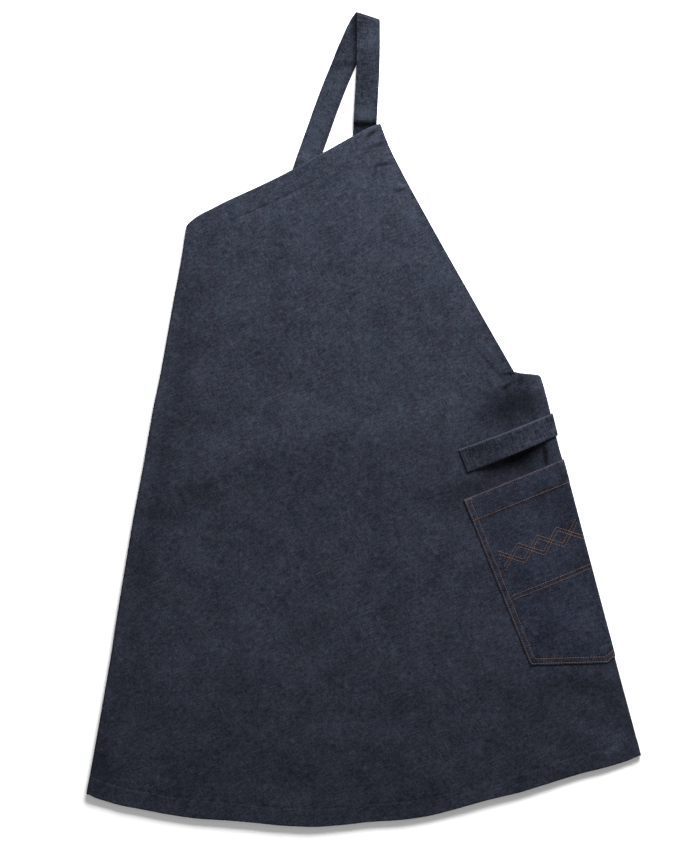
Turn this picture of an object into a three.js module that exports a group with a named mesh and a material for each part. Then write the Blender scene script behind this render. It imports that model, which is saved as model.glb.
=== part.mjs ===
// One-shoulder apron in heavy denim, lying flat with its front up.
// Millimetres, +X across, +Y towards the shoulder strap, +Z up, floor at z = 0.

import * as THREE from "three";

// Driving sizes
const HEM_WIDTH = 721; // between the side folds at the hem corners
const BODY_LENGTH = 914; // lowest point of the hem to the peak of the front
const STRAP_RISE = 146; // peak of the front to the top of the folded strap
const CLOTH = 1.2; // one layer of cloth
const DOUBLED = 2.4; // hem, facing, strap and loop: two layers
const SEAM_GAP = 0.3; // air between two pieces
const LOFT = 10.5; // outer face of the front above the floor
const FACING = 29.5; // depth of the facing along the top edges
const HEM = 23; // depth of the bottom hem
const BAND_STEP = 0.8; // distance over which a doubled band thins to one layer
const LEFT_LEAN = THREE.MathUtils.degToRad(9.99); // side fold off the long axis
const RIGHT_LEAN = THREE.MathUtils.degToRad(14.91);
const LEFT_BOW = 2.3; // the left side fold swells outwards by this much
const LEFT_BOW_SPAN = 95; // half length of that swelling
const LEFT_RADIUS = 3.2; // outer radius of the rolled side fold
const RIGHT_RADIUS = 2.7;
const BACK_INSET = 14; // the back panel stops this far inside the front's edges
const SLANT = THREE.MathUtils.degToRad(22); // pocket turned against the apron
const LOOP_SLANT = THREE.MathUtils.degToRad(21);
const POCKET_WIDTH = 190;
const POCKET_SIDE = 232; // length of a pocket side, without its pointed end
const POCKET_POINT = THREE.MathUtils.degToRad(20.4); // slope of its pointed end
const POCKET_HEM = 30;
const POCKET_LIFT = 5.4; // how far the pocket's mouth stands off the front
const LOOP_WIDTH = 28.2;
const LOOP_TAIL = 38; // loop cloth past the side fold
const LOOP_LIFT = 7; // how far the loop stands off the front
const STRAP_WIDTH = 29.5;
const STRAP_CREASE = THREE.MathUtils.degToRad(-18); // direction of the strap's top fold
const STRAP_RADIUS = 4.2; // middle of the strap's thickness round that fold

// Levels that follow from the sizes above
const HEM_Y = -(BODY_LENGTH + STRAP_RISE) / 2;
const PEAK_Y = HEM_Y + BODY_LENGTH;
const LEFT_CORNER = 0.046; // height of the hem corner, share of BODY_LENGTH
const RIGHT_CORNER = 0.101;
const LEFT_BOW_AT = 0.427; // middle of the left fold's swelling, share of BODY_LENGTH
const LEFT_FOLD_LIFT = 2 * LEFT_RADIUS;
const RIGHT_FOLD_LIFT = 2 * RIGHT_RADIUS;

// Edge of the front, rib by rib. across: share of the width between the side folds.
// top and hem: height above the hem's lowest point, share of BODY_LENGTH.
// lift: outer face at the top edge above the floor, share of LOFT.
const FRONT_RIBS = [
  { across: 0.0, top: 0.86, hem: 0.046, lift: 0.61 },
  { across: 0.012, top: 0.8645, hem: 0.0415, lift: 0.61 },
  { across: 0.03, top: 0.87, hem: 0.037, lift: 0.61 },
  { across: 0.06, top: 0.877, hem: 0.0305, lift: 0.62 },
  { across: 0.1, top: 0.8865, hem: 0.0245, lift: 0.62 },
  { across: 0.15, top: 0.897, hem: 0.017, lift: 0.64 },
  { across: 0.2, top: 0.907, hem: 0.0115, lift: 0.68 },
  { across: 0.25, top: 0.917, hem: 0.009, lift: 0.75 },
  { across: 0.3, top: 0.9275, hem: 0.0055, lift: 0.78 },
  { across: 0.35, top: 0.939, hem: 0.0015, lift: 0.78 },
  { across: 0.4, top: 0.95, hem: 0.0, lift: 0.78 },
  { across: 0.45, top: 0.9605, hem: 0.0025, lift: 0.78 },
  { across: 0.5, top: 0.971, hem: 0.007, lift: 0.75 },
  { across: 0.55, top: 0.9815, hem: 0.0095, lift: 0.72 },
  { across: 0.6, top: 0.9905, hem: 0.015, lift: 0.78 },
  { across: 0.6433, top: 0.9985, hem: 0.0235, lift: 0.8 },
  { across: 0.6565, top: 1.0, hem: 0.026, lift: 0.8 },
  { across: 0.68, top: 0.9645, hem: 0.0315, lift: 0.55 },
  { across: 0.71, top: 0.9325, hem: 0.038, lift: 0.33 },
  { across: 0.74, top: 0.9005, hem: 0.0435, lift: 0.25 },
  { across: 0.77, top: 0.8685, hem: 0.049, lift: 0.25 },
  { across: 0.8, top: 0.834, hem: 0.056, lift: 0.25 },
  { across: 0.83, top: 0.7975, hem: 0.063, lift: 0.25 },
  { across: 0.86, top: 0.7595, hem: 0.07, lift: 0.25 },
  { across: 0.89, top: 0.7185, hem: 0.0765, lift: 0.25 },
  { across: 0.915, top: 0.683, hem: 0.081, lift: 0.3 },
  { across: 0.9385, top: 0.6475, hem: 0.0855, lift: 0.48 },
  { across: 0.955, top: 0.6455, hem: 0.089, lift: 0.51 },
  { across: 0.975, top: 0.6445, hem: 0.0935, lift: 0.515 },
  { across: 1.0, top: 0.643, hem: 0.101, lift: 0.5143 },
];

// Ribs of the two back panels, from each side fold to the slit between them
const BACK_LEFT_RIBS = [0.0, 0.015, 0.04, 0.08, 0.14, 0.21, 0.28, 0.34, 0.4, 0.45];
const BACK_RIGHT_RIBS = [1.0, 0.985, 0.96, 0.925, 0.88, 0.84, 0.78, 0.7, 0.62, 0.54, 0.468];

// Top edge of the right back panel: straight from the side fold down to the slit
const WING_TOP = [
  { across: 0.468, top: 0.421 },
  { across: 1.0, top: 0.643 },
];

// Right back panel raised over what is sewn under it. along: share of BODY_LENGTH.
const WING_LIFT = [
  { along: 0.17, lift: 0.0 },
  { along: 0.238, lift: 1.5 },
  { along: 0.4294, lift: 1.5 },
  { along: 0.465, lift: 2.7 },
  { along: 0.6001, lift: 2.7 },
  { along: 0.643, lift: 0.0 },
];

// Soft folds and dents of the front. side and along: centre, share of HEM_WIDTH and
// BODY_LENGTH. length and width: half spans in mm. turn: degrees. rise: mm.
const SOFT_FOLDS = [
  { side: -0.12, along: 0.545, turn: 8.6, length: 230, width: 26, rise: 1.6 },
  { side: -0.05, along: 0.475, turn: 7.0, length: 210, width: 24, rise: -1.4 },
  { side: 0.27, along: 0.6, turn: -35, length: 34, width: 20, rise: -1.6 },
  { side: -0.352, along: 0.546, turn: -35, length: 26, width: 9, rise: -1.4 },
  { side: -0.38, along: 0.455, turn: 10, length: 24, width: 9, rise: -1.2 },
  { side: -0.31, along: 0.466, turn: -20, length: 26, width: 9, rise: -1.2 },
  { side: 0.37, along: 0.205, turn: -12, length: 30, width: 9, rise: -1.3 },
];

// Shares of a rib between its two doubled bands
const ROW_SHARES = Array.from({ length: 27 }, (_, i) => i / 26);

// Sections of the loop: along is the share of its length up to the side fold
const LOOP_PROFILE = [
  { along: 0.0, lift: 0.0 },
  { along: 0.085, lift: 0.0 },
  { along: 0.16, lift: 0.2 },
  { along: 0.24, lift: 0.46 },
  { along: 0.34, lift: 0.78 },
  { along: 0.46, lift: 0.97 },
  { along: 0.58, lift: 1.0 },
  { along: 0.7, lift: 0.86 },
  { along: 0.8, lift: 0.58 },
  { along: 0.88, lift: 0.28 },
  { along: 0.95, lift: 0.06 },
  { along: 1.0, lift: 0.0 },
];

// Strap sections outside its top fold. side and up: centre from the apron's long axis and
// from the peak, share of STRAP_RISE. lift: underside above the floor. turn: degrees.
const STRAP_UPPER_LEG = [
  { side: 0.004, up: -0.28, lift: 0.3, turn: 0 },
  { side: 0.008, up: -0.115, lift: 0.3, turn: 0 },
  { side: 0.01, up: -0.06, lift: 1.2, turn: 0 },
  { side: 0.012, up: -0.008, lift: 3.2, turn: 0 },
  { side: 0.0125, up: 0.004, lift: 5.6, turn: 0 },
  { side: 0.013, up: 0.02, lift: 8.0, turn: 0 },
  { side: 0.0145, up: 0.05, lift: 9.0, turn: 0 },
  { side: 0.019, up: 0.14, lift: 9.3, turn: 0 },
  { side: 0.0245, up: 0.25, lift: 8.6, turn: 0 },
  { side: 0.0345, up: 0.42, lift: 7.4, turn: 0 },
  { side: 0.0375, up: 0.51, lift: 7.0, turn: 0 },
  { side: 0.04, up: 0.6, lift: 7.5, turn: -1 },
  { side: 0.0412, up: 0.675, lift: 8.3, turn: -3 },
  { side: 0.0415, up: 0.74, lift: 8.6, turn: -5 },
  { side: 0.0415, up: 0.84, lift: 8.4, turn: -11 },
];
const STRAP_LOWER_LEG = [
  { side: -0.0225, up: 0.884, lift: 0, turn: -23 },
  { side: -0.071, up: 0.788, lift: 0.7, turn: -28 },
  { side: -0.102, up: 0.717, lift: 1.6, turn: -26 },
  { side: -0.14, up: 0.633, lift: 0.9, turn: -24.5 },
  { side: -0.1815, up: 0.524, lift: 0, turn: -23 },
  { side: -0.2515, up: 0.355, lift: 0.8, turn: -21.3 },
  { side: -0.333, up: 0.141, lift: 0, turn: -20 },
  { side: -0.409, up: -0.073, lift: 0, turn: -19.5 },
  { side: -0.471, up: -0.248, lift: 0, turn: -19 },
  { side: -0.507, up: -0.352, lift: 2.75, turn: -18.5 },
  { side: -0.565, up: -0.527, lift: 2.75, turn: -18.3 },
];
const STRAP_FOLD_ANGLES = [90, 65, 40, 15, -10, -35, -60, -90];
const FOLD_ANGLES = [-60, -30, 0, 30, 60];

// Small helpers
const lerp = THREE.MathUtils.lerp;
const smooth = (value, reach) => THREE.MathUtils.smoothstep(value, 0, reach);

function column(table, key, name, at) {
  const last = table.length - 1;
  if (at <= table[0][key]) return table[0][name];
  if (at >= table[last][key]) return table[last][name];
  const next = table.findIndex((row) => row[key] >= at);
  const [a, b] = [table[next - 1], table[next]];
  return lerp(a[name], b[name], (at - a[key]) / (b[key] - a[key]));
}

const heightOf = (share) => HEM_Y + share * BODY_LENGTH;

// Plan of the body: straight ribs fan out between the two side folds
function leftTangentX(y) {
  const fold = -HEM_WIDTH / 2 + (y - heightOf(LEFT_CORNER)) * Math.tan(LEFT_LEAN);
  const bow = LEFT_BOW * Math.exp(-(((y - heightOf(LEFT_BOW_AT)) / LEFT_BOW_SPAN) ** 2));
  return fold - bow + LEFT_RADIUS / Math.cos(LEFT_LEAN);
}

function rightTangentX(y) {
  const fold = HEM_WIDTH / 2 - (y - heightOf(RIGHT_CORNER)) * Math.tan(RIGHT_LEAN);
  return fold - RIGHT_RADIUS / Math.cos(RIGHT_LEAN);
}

const ribX = (across, y) => lerp(leftTangentX(y), rightTangentX(y), across);

function acrossAt(x, y) {
  return (x - leftTangentX(y)) / (rightTangentX(y) - leftTangentX(y));
}

const frontTopY = (across) => heightOf(column(FRONT_RIBS, "across", "top", across));
const frontHemY = (across) => heightOf(column(FRONT_RIBS, "across", "hem", across));

// Height of the outer face of the right back panel, raised near the side fold
function wingLift(x, y) {
  const share = (y - HEM_Y) / BODY_LENGTH;
  const atFold = column(WING_LIFT, "along", "lift", share);
  const away = (rightTangentX(y) - x) * Math.cos(RIGHT_LEAN);
  return atFold * (1 - smooth(away - 80, 50));
}

function softFolds(x, y) {
  let rise = 0;
  for (const fold of SOFT_FOLDS) {
    const dx = x - fold.side * HEM_WIDTH;
    const dy = y - heightOf(fold.along);
    const turn = THREE.MathUtils.degToRad(fold.turn);
    const u = (dx * Math.cos(turn) + dy * Math.sin(turn)) / fold.length;
    const v = (dy * Math.cos(turn) - dx * Math.sin(turn)) / fold.width;
    rise += fold.rise * Math.exp(-u * u - v * v);
  }
  return rise;
}

// Height of the outer face of the front
function frontLift(x, y) {
  const across = THREE.MathUtils.clamp(acrossAt(x, y), 0, 1);
  const fromLeft = (x - leftTangentX(y)) * Math.cos(LEFT_LEAN);
  const fromRight = (rightTangentX(y) - x) * Math.cos(RIGHT_LEAN);
  const rightFold = wingLift(rightTangentX(y), y) + RIGHT_FOLD_LIFT;
  const sides = smooth(fromLeft, 45) * smooth(fromRight, 45);
  let lift = LOFT + softFolds(x, y) * sides;
  lift = lerp(LEFT_FOLD_LIFT, lift, smooth(fromLeft, 45));
  lift = lerp(rightFold, lift, smooth(fromRight, 45));
  let edge = LOFT * column(FRONT_RIBS, "across", "lift", across);
  edge = lerp(LEFT_FOLD_LIFT, edge, smooth(fromLeft, 30));
  edge = lerp(rightFold, edge, smooth(fromRight, 30));
  const fromTop = frontTopY(across) - y;
  return lerp(edge, lift, smooth(fromTop, 120));
}

// A column of the body: its points from the top edge to the hem, on the outer face
function rowHeights(topY, hemY) {
  const rows = [{ y: topY, thick: DOUBLED }];
  const start = topY - FACING;
  const end = hemY + HEM;
  rows.push({ y: start, thick: DOUBLED });
  for (const share of ROW_SHARES) {
    rows.push({ y: lerp(start - BAND_STEP, end + BAND_STEP, share), thick: CLOTH });
  }
  rows.push({ y: end, thick: DOUBLED });
  rows.push({ y: hemY, thick: DOUBLED });
  return rows;
}

function bodyColumn(topY, hemY, place) {
  return rowHeights(topY, hemY).map(({ y, thick }) => ({ point: place(y), thick }));
}

function backLeftColumn(across) {
  const inset = BACK_INSET * smooth(across, 0.08);
  const place = (y) => new THREE.Vector3(ribX(across, y), y, 0);
  return bodyColumn(frontTopY(across) - inset, frontHemY(across) + inset, place);
}

function backRightColumn(across) {
  const inset = BACK_INSET * smooth(1 - across, 0.08);
  const topY = heightOf(column(WING_TOP, "across", "top", across));
  const place = (y) => {
    const x = ribX(across, y);
    return new THREE.Vector3(x, y, wingLift(x, y));
  };
  return bodyColumn(topY, frontHemY(across) + inset, place);
}

function frontColumn(across) {
  const place = (y) => {
    const x = ribX(across, y);
    return new THREE.Vector3(x, y, frontLift(x, y));
  };
  return bodyColumn(frontTopY(across), frontHemY(across), place);
}

function leftFoldColumn(degrees) {
  const angle = THREE.MathUtils.degToRad(degrees);
  const out = (LEFT_RADIUS * Math.cos(angle)) / Math.cos(LEFT_LEAN);
  const z = LEFT_RADIUS * (1 + Math.sin(angle));
  const place = (y) => new THREE.Vector3(leftTangentX(y) - out, y, z);
  return bodyColumn(frontTopY(0), frontHemY(0), place);
}

function rightFoldColumn(degrees) {
  const angle = THREE.MathUtils.degToRad(degrees);
  const out = (RIGHT_RADIUS * Math.cos(angle)) / Math.cos(RIGHT_LEAN);
  const up = RIGHT_RADIUS * (1 + Math.sin(angle));
  const place = (y) => {
    const x = rightTangentX(y);
    return new THREE.Vector3(x + out, y, wingLift(x, y) + up);
  };
  return bodyColumn(frontTopY(1), frontHemY(1), place);
}

// A closed sheet from columns of outer points. The inner face lies one thickness
// behind, along the normal that the neighbouring points give.
function sheetGeometry(columns) {
  const wide = columns.length;
  const tall = columns[0].length;
  const outer = columns.map((points) => points.map(({ point }) => point));
  const inner = columns.map((points, i) => points.map(({ point, thick }, j) => {
    const along = outer[Math.min(i + 1, wide - 1)][j].clone()
      .sub(outer[Math.max(i - 1, 0)][j]);
    const down = outer[i][Math.min(j + 1, tall - 1)].clone()
      .sub(outer[i][Math.max(j - 1, 0)]);
    return point.clone().addScaledVector(down.cross(along).normalize(), -thick);
  }));
  const positions = [...outer.flat(), ...inner.flat()].flatMap((p) => [p.x, p.y, p.z]);
  const out = (i, j) => i * tall + j;
  const inn = (i, j) => wide * tall + i * tall + j;
  const index = [];
  const quad = (a, b, c, d) => index.push(a, b, c, a, c, d);
  for (let i = 0; i + 1 < wide; i += 1) {
    for (let j = 0; j + 1 < tall; j += 1) {
      quad(out(i, j), out(i, j + 1), out(i + 1, j + 1), out(i + 1, j));
      quad(inn(i, j), inn(i + 1, j), inn(i + 1, j + 1), inn(i, j + 1));
    }
    quad(out(i, 0), out(i + 1, 0), inn(i + 1, 0), inn(i, 0));
    quad(out(i + 1, tall - 1), out(i, tall - 1), inn(i, tall - 1), inn(i + 1, tall - 1));
  }
  for (let j = 0; j + 1 < tall; j += 1) {
    quad(out(0, j + 1), out(0, j), inn(0, j), inn(0, j + 1));
    quad(out(wide - 1, j), out(wide - 1, j + 1), inn(wide - 1, j + 1), inn(wide - 1, j));
  }
  const geometry = new THREE.BufferGeometry();
  geometry.setAttribute("position", new THREE.Float32BufferAttribute(positions, 3));
  geometry.setIndex(index);
  geometry.computeVertexNormals();
  return geometry;
}

// Body: left back panel, left fold, front, right fold, right back panel
function bodyPanel() {
  const columns = [
    ...BACK_LEFT_RIBS.toReversed().map(backLeftColumn),
    ...FOLD_ANGLES.map(leftFoldColumn),
    ...FRONT_RIBS.map(({ across }) => frontColumn(across)),
    ...FOLD_ANGLES.toReversed().map(rightFoldColumn),
    ...BACK_RIGHT_RIBS.map(backRightColumn),
  ];
  return sheetGeometry(columns);
}

// Cloth sewn on the front and wrapped round the right fold. clear is the distance
// of the placed face from the body's outer face.
const WRAP_RADIUS = RIGHT_RADIUS + SEAM_GAP;
const slantAlong = (slant) => new THREE.Vector2(Math.cos(slant), Math.sin(slant));
const slantDown = (slant) => new THREE.Vector2(Math.sin(slant), -Math.cos(slant));
const FOLD_NORMAL = new THREE.Vector2(Math.cos(RIGHT_LEAN), Math.sin(RIGHT_LEAN));

function wrapRight(plan, clear) {
  const beyond = (plan.x - rightTangentX(plan.y)) * Math.cos(RIGHT_LEAN);
  if (beyond <= 0) {
    return new THREE.Vector3(plan.x, plan.y, frontLift(plan.x, plan.y) + clear);
  }
  const angle = Math.PI / 2 - beyond / WRAP_RADIUS;
  const over = angle > -Math.PI / 2;
  const radius = RIGHT_RADIUS + clear;
  const reach = over ? radius * Math.cos(angle) : Math.PI * WRAP_RADIUS - beyond;
  const spot = plan.clone().addScaledVector(FOLD_NORMAL, reach - beyond);
  const base = wingLift(spot.x, spot.y);
  const z = over ? base + RIGHT_RADIUS + radius * Math.sin(angle) : base - clear;
  return new THREE.Vector3(spot.x, spot.y, z);
}

// Distance along a slant from a plan point to the fold's tangent line
function reachToFold(plan, along) {
  const beyond = (plan.x - rightTangentX(plan.y)) * Math.cos(RIGHT_LEAN);
  return -beyond / along.dot(FOLD_NORMAL);
}

const WRAP_STEPS = [0.17, 0.34, 0.5, 0.66, 0.83, 1];

// Side pocket: wide hem at the mouth, pointed bottom, wrapped half way round the side
const POCKET_CORNER = new THREE.Vector2(HEM_WIDTH * 0.1795, heightOf(0.4654));
const POCKET_ALONG = slantAlong(SLANT);
const POCKET_DOWN = slantDown(SLANT);
const POCKET_FRONT_SHARES = [0, 0.012, 0.1, 0.25, 0.4, 0.55, 0.7, 0.85, 1];
const POCKET_MID_SHARES = [0.25, 0.5, 0.75, 0.92, 1];
const POCKET_BACK_SHARES = [0.3, 0.6, 0.85, 0.98, 1];
const POCKET_ROW_SHARES = [0.14, 0.2, 0.28, 0.37, 0.46, 0.55, 0.64, 0.73, 0.81, 0.88, 0.94, 0.985, 1];

function pocketPlan(u, v) {
  return POCKET_CORNER.clone()
    .addScaledVector(POCKET_ALONG, u)
    .addScaledVector(POCKET_DOWN, v);
}

function pocketLength(u) {
  const toSide = POCKET_WIDTH / 2 - Math.abs(u - POCKET_WIDTH / 2);
  return POCKET_SIDE + toSide * Math.tan(POCKET_POINT);
}

function pocketClear(u, v) {
  const toFold = reachToFold(pocketPlan(u, v), POCKET_ALONG);
  const fromSeams = smooth(u - 6, 42) * smooth(toFold - 4, 34)
    * smooth(pocketLength(u) - v - 8, 60);
  return SEAM_GAP + POCKET_LIFT * fromSeams;
}

// Places across the pocket at one height: to its middle, to the fold, round it, behind it
function pocketPlaces(v) {
  const middle = POCKET_WIDTH / 2;
  const fold = middle + reachToFold(pocketPlan(middle, v), POCKET_ALONG);
  const round = (Math.PI * WRAP_RADIUS) / POCKET_ALONG.dot(FOLD_NORMAL);
  return [
    ...POCKET_FRONT_SHARES.map((share) => share * middle),
    ...POCKET_MID_SHARES.map((share) => lerp(middle, fold, share)),
    ...WRAP_STEPS.map((share) => fold + share * round),
    ...POCKET_BACK_SHARES.map((share) => lerp(fold + round, POCKET_WIDTH, share)),
  ];
}

function pocketPoint(u, v, thick) {
  const clear = pocketClear(u, v);
  return { point: wrapRight(pocketPlan(u, v), clear + thick), thick };
}

function sidePocket() {
  const count = pocketPlaces(0).length;
  const columns = [];
  for (let i = 0; i < count; i += 1) {
    const points = [0, POCKET_HEM / 2, POCKET_HEM]
      .map((v) => pocketPoint(pocketPlaces(v)[i], v, DOUBLED));
    points.push(pocketPoint(pocketPlaces(POCKET_HEM)[i], POCKET_HEM + BAND_STEP, CLOTH));
    for (const share of POCKET_ROW_SHARES) {
      const roughly = pocketPlaces(share * POCKET_SIDE)[i];
      const u = pocketPlaces(share * pocketLength(roughly))[i];
      points.push(pocketPoint(u, share * pocketLength(u), CLOTH));
    }
    columns.push(points);
  }
  return sheetGeometry(columns);
}

// Loop: a doubled band sewn down at its left end, standing off the front, and
// wrapped round the right fold
const LOOP_CORNER = new THREE.Vector2(HEM_WIDTH * 0.1709, heightOf(0.537));
const LOOP_ALONG = slantAlong(LOOP_SLANT);
const LOOP_DOWN = slantDown(LOOP_SLANT);

function loopColumn(at, w, lift) {
  const plan = LOOP_CORNER.clone()
    .addScaledVector(LOOP_ALONG, at)
    .addScaledVector(LOOP_DOWN, w);
  const clear = SEAM_GAP + LOOP_LIFT * lift;
  return { point: wrapRight(plan, clear + DOUBLED), thick: DOUBLED };
}

function towelLoop() {
  const round = (Math.PI * WRAP_RADIUS) / LOOP_ALONG.dot(FOLD_NORMAL);
  const rails = [0, LOOP_WIDTH / 2, LOOP_WIDTH].map((w) => {
    const start = LOOP_CORNER.clone().addScaledVector(LOOP_DOWN, w);
    const fold = reachToFold(start, LOOP_ALONG);
    return [
      ...LOOP_PROFILE.map(({ along, lift }) => loopColumn(along * fold, w, lift)),
      ...WRAP_STEPS.map((share) => loopColumn(fold + share * round, w, 0)),
      loopColumn(fold + round + LOOP_TAIL / 3, w, 0),
      loopColumn(fold + LOOP_TAIL, w, 0),
    ];
  });
  const columns = rails[0].map((_, i) => rails.map((rail) => rail[i]));
  return sheetGeometry(columns);
}

// Strap: the upper leg rises from under the peak, folds over, and the lower leg
// runs down to the back panel
function strapCentres() {
  const crease = new THREE.Vector3(Math.cos(STRAP_CREASE), Math.sin(STRAP_CREASE), 0);
  const out = new THREE.Vector3(-Math.sin(STRAP_CREASE), Math.cos(STRAP_CREASE), 0);
  const middle = new THREE.Vector3(0.0388 * STRAP_RISE, PEAK_Y + 0.966 * STRAP_RISE, 0)
    .addScaledVector(out, -STRAP_RADIUS - DOUBLED / 2);
  const leg = (rows) => rows.map(({ side, up, lift, turn }) => {
    const angle = THREE.MathUtils.degToRad(turn);
    return {
      centre: new THREE.Vector3(
        side * STRAP_RISE,
        PEAK_Y + up * STRAP_RISE,
        lift + DOUBLED / 2,
      ),
      across: new THREE.Vector3(Math.cos(angle), Math.sin(angle), 0),
    };
  });
  const fold = STRAP_FOLD_ANGLES.map((degrees) => {
    const angle = THREE.MathUtils.degToRad(degrees);
    const centre = middle.clone()
      .addScaledVector(out, STRAP_RADIUS * Math.cos(angle))
      .addScaledVector(crease, -Math.tan(STRAP_CREASE) * STRAP_RADIUS * angle);
    centre.z = DOUBLED / 2 + STRAP_RADIUS * (1 + Math.sin(angle));
    return { centre, across: crease };
  });
  return [...leg(STRAP_UPPER_LEG), ...fold, ...leg(STRAP_LOWER_LEG)];
}

function shoulderStrap() {
  const rows = strapCentres();
  const sections = rows.map(({ centre, across }, i) => {
    const before = rows[Math.max(i - 1, 0)].centre;
    const after = rows[Math.min(i + 1, rows.length - 1)].centre;
    const travel = after.clone().sub(before).normalize();
    const square = travel.clone().addScaledVector(across, -travel.dot(across));
    const half = STRAP_WIDTH / 2 / square.length();
    const normal = across.clone().cross(travel).normalize();
    const face = centre.clone().addScaledVector(normal, DOUBLED / 2);
    return [-1, 0, 1].map((side) => ({
      point: face.clone().addScaledVector(across, side * half),
      thick: DOUBLED,
    }));
  });
  return sheetGeometry(sections);
}

// Assembly: every mesh moved alike, so that the whole stands on its origin
function piece(name, geometry, colour, roughness) {
  const material = new THREE.MeshStandardMaterial({ color: colour, roughness, metalness: 0 });
  const mesh = new THREE.Mesh(geometry, material);
  mesh.name = name;
  return mesh;
}

function assemble() {
  const pieces = [
    piece("body_panel", bodyPanel(), 0x343843, 0.92),
    piece("shoulder_strap", shoulderStrap(), 0x3a3f4b, 0.92),
    piece("side_pocket", sidePocket(), 0x2f333e, 0.92),
    piece("towel_loop", towelLoop(), 0x2e323d, 0.92),
  ];
  const group = new THREE.Group();
  group.name = "one_shoulder_apron";
  group.add(...pieces);
  const box = new THREE.Box3().setFromObject(group, true);
  const centre = box.getCenter(new THREE.Vector3());
  for (const { geometry } of pieces) {
    geometry.translate(-centre.x, -centre.y, -box.min.z);
  }
  return group;
}

export default assemble();
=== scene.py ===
"""One-shoulder apron in heavy denim, lying flat with its front up: the dressed model.

Sizes are in millimetres until a mesh is built, which is in metres. +X runs across the apron,
+Y towards the shoulder strap and +Z up, out of the front. The cloth follows the same plan,
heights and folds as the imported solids.
"""

from __future__ import annotations

import logging
import math
from dataclasses import dataclass, field
from enum import Enum
from typing import Callable, Sequence

import bmesh
import bpy
import numpy as np
from mathutils import Matrix, Vector


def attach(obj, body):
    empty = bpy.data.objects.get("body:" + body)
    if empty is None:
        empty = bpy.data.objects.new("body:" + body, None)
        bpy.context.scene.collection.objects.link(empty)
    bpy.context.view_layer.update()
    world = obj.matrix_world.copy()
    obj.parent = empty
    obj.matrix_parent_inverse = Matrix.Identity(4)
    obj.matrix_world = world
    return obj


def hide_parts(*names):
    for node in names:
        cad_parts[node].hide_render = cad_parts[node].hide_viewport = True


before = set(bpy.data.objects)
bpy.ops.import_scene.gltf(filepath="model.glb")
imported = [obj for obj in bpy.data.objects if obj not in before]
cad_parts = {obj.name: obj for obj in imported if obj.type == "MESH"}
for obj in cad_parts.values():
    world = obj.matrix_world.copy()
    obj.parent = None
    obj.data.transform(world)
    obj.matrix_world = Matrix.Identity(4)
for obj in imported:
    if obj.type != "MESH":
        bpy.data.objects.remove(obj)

LOG = logging.getLogger("apron")
MM = 0.001
Array = np.ndarray
Socket = bpy.types.NodeSocket


class Node(Enum):
    """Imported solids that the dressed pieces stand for."""

    BODY = "body_panel"
    STRAP = "shoulder_strap"
    POCKET = "side_pocket"
    LOOP = "towel_loop"


class Slot(Enum):
    """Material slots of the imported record."""

    BODY = "body_denim"
    STRAP = "strap_denim"
    POCKET = "pocket_denim"
    LOOP = "loop_denim"


class Held(Enum):
    """How a sheet of cloth is held."""

    FOLDED = "folded"
    LAID = "laid"


# Curves and small helpers


def smooth(value: Array | float, reach: float) -> Array:
    """Ease from 0 at zero to 1 at the reach.

    Args:
        value: Distances.
        reach: Distance at which the result is 1.

    Returns:
        The eased values.
    """
    t = np.clip(np.asarray(value, dtype=float) / reach, 0.0, 1.0)
    return t * t * (3.0 - 2.0 * t)


def mix(a: Array | float, b: Array | float, t: Array | float) -> Array:
    """Blend from a to b by t."""
    return np.asarray(a) * (1.0 - np.asarray(t)) + np.asarray(b) * np.asarray(t)


def run_length(points: Array) -> Array:
    """Distance along a line of points at each of them."""
    steps = np.linalg.norm(np.diff(points, axis=0), axis=1)
    return np.concatenate([[0.0], np.cumsum(steps)])


def linked(name: str, data: bpy.types.ID) -> bpy.types.Object:
    """New object of some data, linked to the scene."""
    made = bpy.data.objects.new(name, data)
    bpy.context.scene.collection.objects.link(made)
    return made


def monotone(xs: Array, ys: Array, at: Array) -> Array:
    """Follow points with a monotone cubic.

    Args:
        xs: Rising places of the points.
        ys: Values there.
        at: Places to read.

    Returns:
        The values, held level outside the points.
    """
    if len(xs) < 3:
        return np.interp(at, xs, ys)
    step, rise = np.diff(xs), np.diff(ys)
    slope = rise / step
    turn = slope[:-1] * slope[1:] > 0
    w1, w2 = 2 * step[1:] + step[:-1], step[1:] + 2 * step[:-1]
    safe = np.where(turn, slope[:-1], 1.0), np.where(turn, slope[1:], 1.0)
    inner = np.where(turn, (w1 + w2) / (w1 / safe[0] + w2 / safe[1]), 0.0)
    m = np.concatenate([[slope[0]], inner, [slope[-1]]])
    t = np.clip(at, xs[0], xs[-1])
    k = np.clip(np.searchsorted(xs, t, side="right") - 1, 0, len(xs) - 2)
    s = (t - xs[k]) / step[k]
    return (
        ys[k] * (1 + 2 * s) * (1 - s) ** 2
        + ys[k + 1] * s * s * (3 - 2 * s)
        + step[k] * (m[k] * s * (1 - s) ** 2 - m[k + 1] * s * s * (1 - s))
    )


@dataclass(frozen=True)
class Curve:
    """Values along one direction, smooth except at named corners."""

    rows: tuple[tuple[float, float], ...]
    corners: tuple[float, ...] = ()

    def at(self, places: Array | float) -> Array:
        """Read the curve.

        Args:
            places: Where to read it.

        Returns:
            The values there.
        """
        places = np.asarray(places, dtype=float)
        xs, ys = (np.array(c, dtype=float) for c in zip(*self.rows))
        bounds = [xs[0], *self.corners, xs[-1]]
        out = np.full(places.shape, ys[0])
        for low, high in zip(bounds[:-1], bounds[1:]):
            inside = (xs >= low - 1e-9) & (xs <= high + 1e-9)
            out = np.where(places >= low, monotone(xs[inside], ys[inside], places), out)
        return out


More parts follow.
